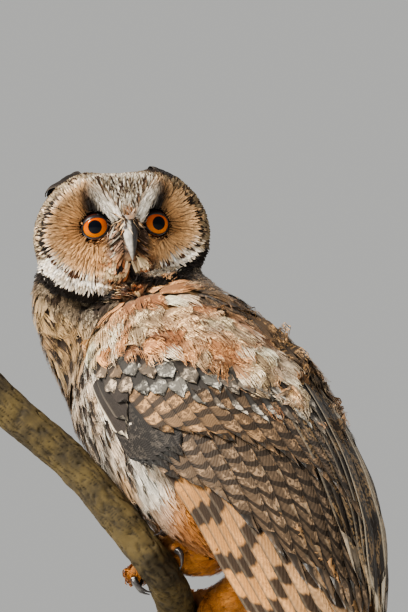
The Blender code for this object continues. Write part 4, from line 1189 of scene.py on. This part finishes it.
def from_line(local, start, end):
    """How far places of the face are from a straight stretch of it, drawn on the owl's left."""
    place = np.stack([np.abs(local[:, 0]), local[:, 2]], -1) - start
    along = np.array(end, float) - start
    share = np.clip(place @ along / (along @ along), 0, 1)
    return np.linalg.norm(place - share[:, None] * along, axis=1)


# %% Zones and lie over the face
BROW_LINE, DARK_LINE = ((6.0, 8.0), (17.5, 28.0)), ((13.0, 14.0), (21.0, 24.0))
DISC_BUFF, DISC_ORANGE, DISC_DARK = colour(204, 168, 130), colour(182, 132, 84), colour(90, 62, 42)
BROW_GREY, PINK_BROWN, CHIN_RUST = colour(188, 180, 166), colour(156, 128, 110), colour(184, 118, 78)


def face_zones(local):
    """How far each place of the face belongs to the brow, the forehead, the lores and the chin."""
    side, up = np.abs(local[:, 0]), local[:, 2]
    brow = soft(from_line(local, *BROW_LINE), 6.0, 2.0) * soft(up, 33, 24)
    forehead = soft(side - 6.0 - np.maximum(up - 8, 0) * 0.62, 1.0, -2.5) * soft(up, 7, 11)
    lore = soft(side, 14.5, 11.0) * soft(up, 9, 5) * soft(up, -17, -12)
    chin = soft(side, 19.0, 12.0) * soft(up, -12, -17)
    return brow, forehead * (1 - brow), lore * (1 - brow), chin


def face_lies(places):
    """Away from the eye; up over the forehead, out beside the bill and down over the chin."""
    local = to_frame(HEAD, places)
    sign = np.where(local[:, 0] >= 0, 1.0, -1.0)[:, None]
    mirrored = np.hstack([sign, np.ones_like(sign), np.ones_like(sign)])
    lies = from_eye(local)[2]
    ways = ((0.62, 0.2, 0.8), (0.12, 0.3, 1.0), (0.85, -0.2, -0.5), (0.5, 0.0, -1.0))
    for zone_share, way in zip(face_zones(local), ways):
        share = zone_share[:, None]
        lies = unit(lies * (1 - share) + share * np.array(way) * mirrored)
    return unit(lies + DRAW.normal(0, 0.07, lies.shape)) @ HEAD[:3, :3].T


# %% Colour over the face
def face_looks(places):
    """What the face's feathers look like at their visible ends."""
    local = to_frame(HEAD, places)
    count = len(places)
    share, angle = on_disc(local)
    line_start, line_end, rim_start, _ = read_table(FACE_RIM, angle)
    out, up, _ = from_eye(local)
    ring = np.hypot(out, up)
    brow, forehead, lore, chin = face_zones(local)
    chance = DRAW.uniform(0, 1, count)
    ground = mixed(soft(share, 0.55, 0.84), DISC_ORANGE, DISC_BUFF)
    ground = mixed(0.5 * soft(up, -4, -12), ground, DISC_BUFF)
    ground = ground * (1 - 0.22 * soft(angle, 8, 40) * soft(share, 0.6, 0.8))[:, None]
    low = soft(angle, 4, -14)
    pale = soft(share, line_start - 0.035 - 0.055 * low, line_start - 0.01)
    pale = pale * np.maximum(low, 0.4 * (local[:, 0] < 0))
    ground = mixed(pale, ground, mixed(chance, CREAM, WHITE))
    beside_eye = 0.85 * soft(ring, 18, 11) * soft(out, 5, 9) * soft(np.abs(up + 1), 9, 3)
    ground = mixed(beside_eye, ground, DISC_DARK)
    over_eye = soft(from_line(local, *DARK_LINE), 7.5, 3.0)
    ground = mixed(0.92 * over_eye, ground, mixed(chance, BLACK_BROWN, DISC_DARK))
    above_lid = soft(ring, 21.0, 15.0) * soft(up, 2.5, 6.0) * soft(out, -11, -7) * soft(out, 11, 4)
    ground = mixed(above_lid, ground, BLACK_BROWN)
    # Painted shade: on the owl's left, away from the light, the lores are darker, and their pale flecks are
    # buff there instead of grey.
    lore_shade_side = soft(local[:, 0], 0.0, 3.0)
    ground = mixed(lore, ground, mixed(1.8 * chance - 0.2 - 0.9 * lore_shade_side, DARK_BROWN, PINK_BROWN))
    ground = mixed(lore * (DRAW.uniform(0, 1, count) < 0.12), ground, mixed(lore_shade_side, BROW_GREY, BUFF))
    fans = drift(places, 4.5, 6.0)
    ground = mixed(chin, ground, mixed(0.4 + 1.6 * fans + 0.5 * (chance - 0.5), CHIN_RUST, CREAM))
    ground = mixed(chin * soft(fans, -0.12, -0.30), ground, BLACK_BROWN)
    ground = mixed(chin * soft(np.hypot(local[:, 0] - 4, local[:, 2] + 26), 6, 3), ground, BLACK_BROWN)
    faded = mixed(0.85 * soft(local[:, 2], 15, 27), mixed(chance, BROW_GREY, WHITE), colour(134, 118, 100))
    ground = mixed(brow, ground, faded)
    fleck = mixed(chance * 1.6 - 0.3, colour(142, 128, 108), colour(226, 218, 204))
    fleck = mixed(DRAW.uniform(0, 1, count) < 0.22, fleck, DARK_BROWN)
    ground = mixed(forehead, ground, fleck)
    ground = mixed(0.6 * forehead * soft(np.hypot(local[:, 0], local[:, 2] - 11), 6, 3), ground, RUFOUS)
    edge = share + DRAW.normal(0, 0.012, count)
    thin = share + DRAW.normal(0, 0.004, count)
    line = soft(thin, line_start - 0.008, line_start) * soft(thin, line_end + 0.008, line_end)
    dashed = np.where(angle < -14, (chance < 0.8) * 1.0, 1.0) * soft(angle, -68, -56) * soft(angle, 76, 28)
    ground = mixed(line * dashed, ground, mixed(soft(angle, -10, -20), BLACK_BROWN, colour(84, 58, 42)))
    white = soft(edge, line_end, line_end + 0.015) * soft(angle, -12, -17) * soft(angle, -72, -62)
    ground = mixed(white, ground, mixed(0.6 * chance, WHITE, CREAM))
    speckled = mixed(chance, colour(96, 82, 64), colour(170, 156, 134))
    # Painted shade: the speckled rim is darker on the owl's left, away from the light.
    speckled = mixed(0.6 * (local[:, 0] > 0), speckled, colour(104, 86, 62))
    speckled = mixed(DRAW.uniform(0, 1, count) < 0.26, speckled, DARK_BROWN)
    ground = mixed(soft(edge, line_end, line_end + 0.01) * soft(angle, -17, -12), ground, speckled)
    toothed = (edge > rim_start) * soft(angle, -80, -72) * soft(angle, -8, -14)
    ground = mixed(toothed, ground, BLACK_BROWN)
    crest = soft(share, 0.955, 0.975) * soft(np.abs(angle - 58), 17, 13) * (local[:, 0] > 0)
    ground = mixed(crest, ground, colour(38, 34, 34))
    tips = 0.9 * chin * (DRAW.uniform(0, 1, count) < 0.7)
    return looks(count, ground, DARK_BROWN, vermiculation=0.45 * forehead, tip=tips,
                 streak=0.35 * brow * (chance < 0.4), uneven=0.12)


# %% Growing the face
def beyond_lids(places):
    """Which places of the face are outside the lids and the bill's root."""
    local = to_frame(HEAD, places)
    out, up, _ = from_eye(local)
    in_bill = (np.abs(local[:, 0]) < 4.6) & (local[:, 2] < 9) & (local[:, 2] > -16)
    return on_face(places) & (np.hypot(out / 1.08, up) > 7.6) & ~in_bill


SPOKE_SPACING = 0.98
face = Coat()
roots = scatter(beyond_lids, lambda places: np.full(len(places), SPOKE_SPACING))
local = to_frame(HEAD, roots)
share, angle = on_disc(local)
line_start = read_table(FACE_RIM, angle)[0]
rim = soft(share, line_start - 0.05, line_start)
brow, forehead, lore, chin = face_zones(local)
lengths = (8.5 - 4.0 * rim - 2.0 * forehead - 1.0 * lore) * DRAW.uniform(0.75, 1.15, len(roots))
lines, ups = walk_surface(roots, face_lies(roots), lengths * MM, 3)
widths = 0.50 + 0.12 * rim + 0.10 * forehead + 0.40 * chin
low_rim, crown = rim * soft(angle, -10, -25), soft(local[:, 2], 26, 34) * soft(np.abs(local[:, 0]), 20, 10)
tips = 0.3 + 0.9 * rim + 1.2 * low_rim + 1.0 * chin + 1.8 * lore * DRAW.uniform(0, 1, len(roots)) ** 2
tips = (tips + DRAW.uniform(0, 0.4, len(roots))) * (1 - crown) - 0.6 * crown
face.grow(lines, ups, widths, face_looks(lines[:, 2]), rows=4, cols=2, root=(0.6, 0.55),
          lift=np.stack([np.full(len(roots), -1.6), tips], 1), camber=0.12, fray=0.1)

# %% Bristles beside the bill
BRISTLES = 80
bill_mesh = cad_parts["bill_upper"].data
polygons = [tuple(p.vertices) for p in skin.data.polygons]
polygons += [tuple(v + len(surface_points) for v in p.vertices) for p in bill_mesh.polygons]
WITH_BILL = BVHTree.FromPolygons(surface_points.tolist() + points_of(bill_mesh).tolist(), polygons)
out = DRAW.choice((-1, 1), BRISTLES) * DRAW.uniform(3.2, 7.0, BRISTLES)
starts = np.stack([out, np.full(BRISTLES, -40.0), DRAW.uniform(4.0, 11.0, BRISTLES)], -1)
sideways = np.sign(out) * (0.55 + 0.12 * np.abs(out))
lies = np.stack([sideways, np.full(BRISTLES, -0.2), np.full(BRISTLES, -0.8)], -1) @ HEAD[:3, :3].T
lines, ups = walk_surface(from_frame(HEAD, starts), lies, DRAW.uniform(7, 12, BRISTLES) * MM, 5, WITH_BILL)
bristle = mixed(DRAW.uniform(0, 1, BRISTLES), RUFOUS, CREAM)
bristle = mixed(DRAW.uniform(0, 1, BRISTLES) < 0.6, bristle, DARK_BROWN)
look = looks(BRISTLES, bristle, DARK_BROWN)
tips = DRAW.uniform(0.5, 1.6, BRISTLES)
face.grow(lines, ups, 0.34, look, rows=6, cols=2, root=(0.8, 0.3),
          lift=np.stack([np.full(BRISTLES, -0.8), tips], 1), camber=0.1)
face.finish("plumage_face", SOFT_PLUMAGE)

# %% [markdown]
# ## The ear tufts
#
# The tufts aren't ears but long feathers that the bird can raise or, as here, lay back over the crown. Each
# is black in the middle, with greyer edges, and follows the curve of the head behind the face's rim.

# %% The ear tufts
TUFT_SPOKE, TUFT_FAN, TUFT_REACH = 0.68, 0.40, 1.02
TUFT_LIFTS = {"left": 5.6, "right": 4.6}
TUFT_COUNT = 17


def near(value, centre, spread):
    """A soft bump: 1 at the centre, fading with distance."""
    return np.exp(-(((value - centre) / spread) ** 2))


def head_back(spoke, turn):
    """Points behind the face's rim: spoke 0 is the crown, turn 0 is the rim and a quarter turn the nape."""
    reach = 1 / np.hypot(np.sin(spoke) / HEAD_REACH[0], np.cos(spoke) / HEAD_REACH[1])
    reach += near(spoke, 0.80, 0.35) + 2.5 * near(spoke, 2.25, 0.40) - 3.0 * near(spoke, 0.0, 0.35)
    reach = reach * np.maximum(np.cos(turn), 0.03) ** 0.85
    back = 40.0 * np.sin(turn) + 8.0 * near(turn, 0.0, 0.5) - 13.0 * (1 - np.sin(turn)) - 8.0
    return np.stack([reach * np.sin(spoke), back, reach * np.cos(spoke)], -1)


def tuft_lines(side, across, reach, steps=12):
    """Shafts of a tuft's feathers and the way up from them."""
    share = np.linspace(0.0, 1.0, steps + 1)[None, :] * reach[:, None]
    spoke = TUFT_SPOKE + TUFT_FAN * across[:, None] * (0.5 + 0.6 * share) + 0.22 * share
    turn = 0.02 + TUFT_REACH * share
    here = head_back(spoke, turn)
    out = unit(np.cross(head_back(spoke, turn + 0.02) - here, head_back(spoke + 0.02, turn) - here))
    out = np.where(out[..., 2:] < 0, -out, out)
    here = here + out * (0.6 + TUFT_LIFTS[side] * np.sin(pi * share * 0.8)[..., None])
    flip = np.array([SIDES[side], 1, 1])
    return from_frame(HEAD, here * flip), (out * flip) @ HEAD[:3, :3].T


for side, sign in SIDES.items():
    across = np.linspace(-0.62, 0.62, TUFT_COUNT) + DRAW.uniform(-0.03, 0.03, TUFT_COUNT)
    reach = 1.0 - 0.9 * across**2 - DRAW.uniform(0, 0.14, TUFT_COUNT)
    lines, ups = tuft_lines(side, across, reach)
    edge = soft(np.abs(across), 0.30, 0.50)
    look = looks(TUFT_COUNT, mixed(edge, colour(24, 23, 25), colour(64, 58, 54)), BLACK_BROWN, streak=0.9,
                 vermiculation=0.5 * edge, fringe=0.06)
    tips = 0.8 + DRAW.uniform(0, 1.4, TUFT_COUNT)
    tuft = Coat()
    tuft.grow(lines, ups, 2.5, look, rows=16, cols=6, root=(0.5, 0.55),
              lift=np.stack([np.full(TUFT_COUNT, -1.5), tips], 1), camber=0.7, tilt=0.4 * sign, fray=0.03)
    tuft.finish("plumage_ear_tuft_" + side, TUFT_PLUMAGE, ["ear_tuft_" + side])

# %% [markdown]
# ## The eyes
#
# The round, forward-looking eyes give the owl its gaze. Each ball is a fine sphere whose own UV map measures
# the distance from the line of sight, so the pupil, the glowing iris and its dark edge are rings of that
# distance. A clear coat stands for the wet cornea.

# %% The balls
def ball(side):
    """An eyeball that replaces the coarse one."""
    place, look, outward, upward = eye_axes(side)
    form = bmesh.new()
    bmesh.ops.create_uvsphere(form, u_segments=64, v_segments=48, radius=EYE_RADIUS)
    sight = form.loops.layers.uv.new("Sight")
    turn = np.array([outward, upward, look]).T
    for face in form.faces:
        for loop in face.loops:
            x, y, z = loop.vert.co / EYE_RADIUS
            reach = sqrt(max((1 - z) / 2, 0.0)) / max(sqrt(x * x + y * y), 1e-6)
            loop[sight].uv = (0.5 + 0.5 * x * reach, 0.5 + 0.5 * y * reach)
    for v in form.verts:
        v.co = Vector(from_frame(HEAD, turn @ np.array(v.co) + place))
    bmesh.ops.recalc_face_normals(form, faces=form.faces)
    made = object_from("eyeball_" + side, form)
    hand_over(made, ["eye_" + side])
    return made


# %% The lids
LID_PROFILE = [(-0.3, -1.0), (0.0, 0.12), (0.25, 0.4), (0.5, 0.45), (0.9, 0.3), (1.4, -0.4), (1.8, -2.6)]


def lids(side):
    """The lids' bare rim: a ring that hugs the ball and dives under the feathers."""
    place, look, outward, upward = eye_axes(side)
    form = bmesh.new()
    rings = []
    for out, rise in LID_PROFILE:
        ring = bmesh.ops.create_circle(form, cap_ends=False, segments=56, radius=1.0)["verts"]
        for v in ring:
            above = max(v.co.y, 0.0)
            half_height = LID_OPENING[1] - 0.8 * above + out * (1 + 0.9 * above)
            reach = np.array([v.co.x * (LID_OPENING[0] + out), v.co.y * half_height])
            reach = reach @ [[cos(LID_SLANT), sin(LID_SLANT)], [-sin(LID_SLANT), cos(LID_SLANT)]]
            on_ball = min(np.linalg.norm(reach), EYE_RADIUS - 1.2)
            height = sqrt(EYE_RADIUS**2 - on_ball**2) + rise
            v.co = Vector(from_frame(HEAD, place + reach[0] * outward + reach[1] * upward + height * look))
        rings.append(list({edge for v in ring for edge in v.link_edges}))
    for low, high in zip(rings, rings[1:]):
        bmesh.ops.bridge_loops(form, edges=low + high)
    bmesh.ops.recalc_face_normals(form, faces=form.faces)
    middle = Vector(from_frame(HEAD, place))
    outer = max(form.faces, key=lambda face: (face.calc_center_median() - middle).length)
    if outer.normal.dot(outer.calc_center_median() - middle) < 0:
        bmesh.ops.reverse_faces(form, faces=form.faces)
    made = object_from("lids_" + side, form)
    hand_over(made)
    return made


# %% Finish of the eyes
def eye_material():
    """Rings of colour round the line of sight."""
    made = plain_material("eye", (0.5, 0.2, 0.02), 0.15)
    x, y, _ = split(Value(node(made.node_tree, "ShaderNodeUVMap", uv_map="Sight").outputs[0]))
    outward, upward = x - 0.5, y - 0.5
    reach = (outward * outward + upward * upward).done("SQRT") * 2.0
    fibre = noise_at(joined(upward.done("ARCTAN2", outward), reach * 0.6), 9.0, 3.0, 0.6)
    iris = blend(upward * 2.2 + 0.45, colour(196, 118, 0), colour(162, 42, 0))
    iris = blend(fibre * 0.35, iris, colour(150, 52, 8))
    for start, end, ring in ((0.375, 0.43, colour(70, 26, 8)), (0.43, 0.45, colour(18, 14, 13)),
                             (0.225, 0.205, colour(9, 12, 20))):
        iris = blend(reach.step(start, end), iris, ring)
    return set_shader(made, {"Base Color": iris, "Specular IOR Level": 0.0, "Coat Weight": 0.25,
                             "Coat Roughness": 0.04})


EYE_FINISH = eye_material()
for side in SIDES:
    ball(side).data.materials.append(EYE_FINISH)

# %% [markdown]
# ## Bill and claws
#
# Horn grows in smooth layers. The solids' facets are turned into an even fine mesh and smoothed, which keeps
# their size, and a streaky grey finish with a soft shine is painted along them.

# %% Finer copies of solids
def refined(name, solids, voxel, rounds):
    """A finely meshed, smoothed copy that takes the place of its solids."""
    made = remeshed(name, solids, voxel, rounds)
    hand_over(made, solids)
    return made


def shaded_by_place(name, first, second, third, scale, roughness, bump=0.0, coat=0.0):
    """A finish that mixes two colours by a noise, and a third by a value stored on the points, such as the
    painted shade of the bill and the bark.
    """
    made = plain_material(name, tuple(first), roughness)
    tree = made.node_tree
    grain = noise_at(object_place(tree), scale, 5.0, 0.6)
    told = Value(node(tree, "ShaderNodeAttribute", attribute_name="shade").outputs["Fac"])
    base = blend(told, blend(grain.step(0.36, 0.64), first, second), third)
    set_shader(made, {"Base Color": base, "Coat Weight": coat, "Coat Roughness": 0.2})
    return set_shader(made, {"Normal": raised_by(grain, bump, 0.4)} if bump else {})


def painted(made, shades, material):
    """Stores a shade for each point and gives the finish that reads it."""
    values = np.full(len(made.data.vertices), shades, float)
    made.data.attributes.new("shade", "FLOAT", "POINT").data.foreach_set("value", values)
    made.data.materials.clear()
    made.data.materials.append(material)


# %% Lids in place
LID_FINISH = shaded_by_place("lid_skin", colour(24, 20, 22), colour(32, 28, 30), colour(128, 136, 152),
                             300.0, 0.38)
for side in SIDES:
    rim = lids(side)
    place, look, outward, upward = eye_axes(side)
    offset = to_frame(HEAD, points_of(rim.data)) - place
    reach = np.hypot(offset @ outward / (LID_OPENING[0] + 1.0), offset @ upward / (LID_OPENING[1] + 1.0))
    painted(rim, soft(np.abs(reach - 1.04), 0.05, 0.0) * soft(offset @ upward, -2.0, -5.0), LID_FINISH)
print("lids ready")

# %% Bill and claws in place
HORN = shaded_by_place("bill_horn", colour(178, 174, 168), colour(136, 132, 126), colour(30, 28, 30), 380.0,
                       0.42, 0.15, 0.25)
upper_bill = refined("bill_horn_upper", ["bill_upper"], 0.32, 3)
local = to_frame(HEAD, points_of(upper_bill.data))
nostrils = np.min([np.linalg.norm(local - np.array([s * 3.6, -37.0, 3.5]), axis=1) for s in (1, -1)], axis=0)
# Painted shade: the bill darkens on the owl's left side, away from the light, and half as much towards its
# tip. The nostrils are painted as dark spots.
bill_shade_side = np.maximum(0.5 * soft(local[:, 2], -10, -16), 0.95 * soft(local[:, 0], -0.6, 0.8))
painted(upper_bill, np.maximum(soft(nostrils, 2.0, 1.2), bill_shade_side), HORN)
painted(refined("bill_horn_lower", ["bill_lower"], 0.32, 3), 0.6, HORN)

CLAW_HORN = shaded_by_place("claw_horn", colour(44, 42, 44), colour(62, 58, 58), colour(12, 12, 14), 300.0,
                            0.3, 0.1, 0.4)
for side, number in product(SIDES, (1, 2, 3, 4)):
    painted(refined(f"talon_{side}_{number}", [f"claw_{side}_{number}"], 0.35, 3), 0.3, CLAW_HORN)
print("horn ready")

# %% [markdown]
# ## The branch
#
# Bark is a skin that cracks and ridges along the branch as it grows. The branch is meshed finely, its points
# are moved by noise that is stretched along it, and the two sawn ends are kept flat and show pale wood.

# %% Bark
# Places along the branch's middle, in millimetres, with both ends
BRANCH_LINE = np.array([(-136, -24, 298), (-104, -20, 268), (-70, -16, 239), (-20, 34, 145), (-4, 44, 108)])
BRANCH_STRETCH = 0.82


def rough_branch():
    """The branch with its bark's relief, and how far each point belongs to a sawn end and to a crack."""
    made = refined("bark_branch", ["perch_branch"], 1.0, 2)
    points, normals = points_of(made.data), normals_of(made.data)
    ends = np.zeros(len(points))
    for end, inner in ((0, 1), (-1, -2)):
        close = np.linalg.norm(points - BRANCH_LINE[end] * MM, axis=1) < 14 * MM
        facing = np.abs(normals @ unit((BRANCH_LINE[end] - BRANCH_LINE[inner]) * MM)) > 0.8
        ends = np.maximum(ends, close & facing)
    along = unit((BRANCH_LINE[2] - BRANCH_LINE[0]) * MM)
    stretched = points / MM - np.outer(points / MM @ along, along) * BRANCH_STRETCH
    relief = np.array([noise.fractal(Vector(p) * 90, 0.8, 2.0, 3) for p in points])
    cracks = np.array([abs(noise.noise(Vector(p) * 0.42)) for p in stretched])
    shift = (0.5 * relief - 0.8 * soft(cracks, 0.16, 0.0) + 0.15) * (1 - ends)
    made.data.vertices.foreach_set("co", (points + normals * shift[:, None] * MM).ravel())
    made.data.update()
    return made, ends, cracks


BARK = shaded_by_place("bark", colour(86, 73, 42), colour(54, 46, 29), colour(32, 26, 18), 75.0, 0.9, 0.6)
CUT_WOOD = shaded_by_place("cut_wood", colour(196, 164, 118), colour(176, 140, 96), colour(110, 80, 50),
                           240.0, 0.8)
branch, ends, cracks = rough_branch()
# Painted shade: the bark is darker in its cracks. The sawn ends take none.
painted(branch, np.where(ends > 0, 0.0, 0.8 * soft(cracks, 0.12, 0.0)), BARK)
branch.data.materials.append(CUT_WOOD)
for polygon in branch.data.polygons:
    polygon.material_index = int(all(ends[v] > 0 for v in polygon.vertices))
print("bark ready")

# %% [markdown]
# ## The stand
#
# The base is turned from dark wood and the rod is brushed steel. Both keep the solids' own shapes, and only
# their finishes are made here: growth rings that are stretched along the grain, and fine marks round the
# rod.

# %% Wood and steel
def stretched_place(tree, scale):
    """The place on a piece, drawn together along some axes so that a noise there is drawn out."""
    made = node(tree, "ShaderNodeMapping")
    wire(object_place(tree), made.inputs["Vector"])
    wire(scale, made.inputs["Scale"])
    return Value(made.outputs[0])


def wood_material():
    """Dark turned wood with its growth rings along X."""
    made = plain_material("stand_wood", tuple(colour(70, 46, 30)), 0.42)
    grain = stretched_place(made.node_tree, (1.0, 14.0, 14.0))
    rings = noise_at(grain, 9.0, 6.0, 0.6).step(0.35, 0.65)
    base = blend(rings, colour(92, 60, 38), colour(52, 33, 22))
    base = blend(noise_at(grain, 90.0, 3.0, 0.6) * 0.35, base, colour(40, 26, 18))
    return set_shader(made, {"Base Color": base, "Coat Weight": 0.3, "Coat Roughness": 0.25})


def steel_material():
    """Steel brushed round the rod."""
    made = plain_material("stand_steel", (0.42, 0.42, 0.44), 0.35)
    marks = noise_at(stretched_place(made.node_tree, (30.0, 30.0, 900.0)), 1.0, 3.0)
    return set_shader(made, {"Metallic": 1.0, "Roughness": marks * 0.3 + 0.2})


for name, finish in (("stand_base", wood_material()), ("stand_rod", steel_material())):
    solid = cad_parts[name]
    solid.data.materials.clear()
    solid.data.materials.append(finish)
print("stand ready")

# %% [markdown]
# ## The skin's colours
#
# The skin lies under the feathers and has the same zones. So it takes the colours that feathers would have
# there, as an attribute of its points, darkened as painted shade under the coat.

# %% Painting the skin
UNDERCOAT_SHADE = 0.55
body_ground = body_looks(surface_points)["ground"]
face_ground = face_looks(surface_points)["ground"]
values = np.where(on_face(surface_points)[:, None], face_ground, body_ground)
# Painted shade: the skin under the coat is darkened to 0.55 of the feathers' colours.
values[:, :3] *= UNDERCOAT_SHADE
skin.data.attributes.new("ground", "FLOAT_COLOR", "POINT").data.foreach_set("color", values.ravel())
down = plain_material("skin_down", (0.2, 0.15, 0.1), 0.95)
told = Value(node(down.node_tree, "ShaderNodeAttribute", attribute_name="ground").outputs["Color"])
skin.data.materials.clear()
skin.data.materials.append(set_shader(down, {"Base Color": told}))
print("skin painted")
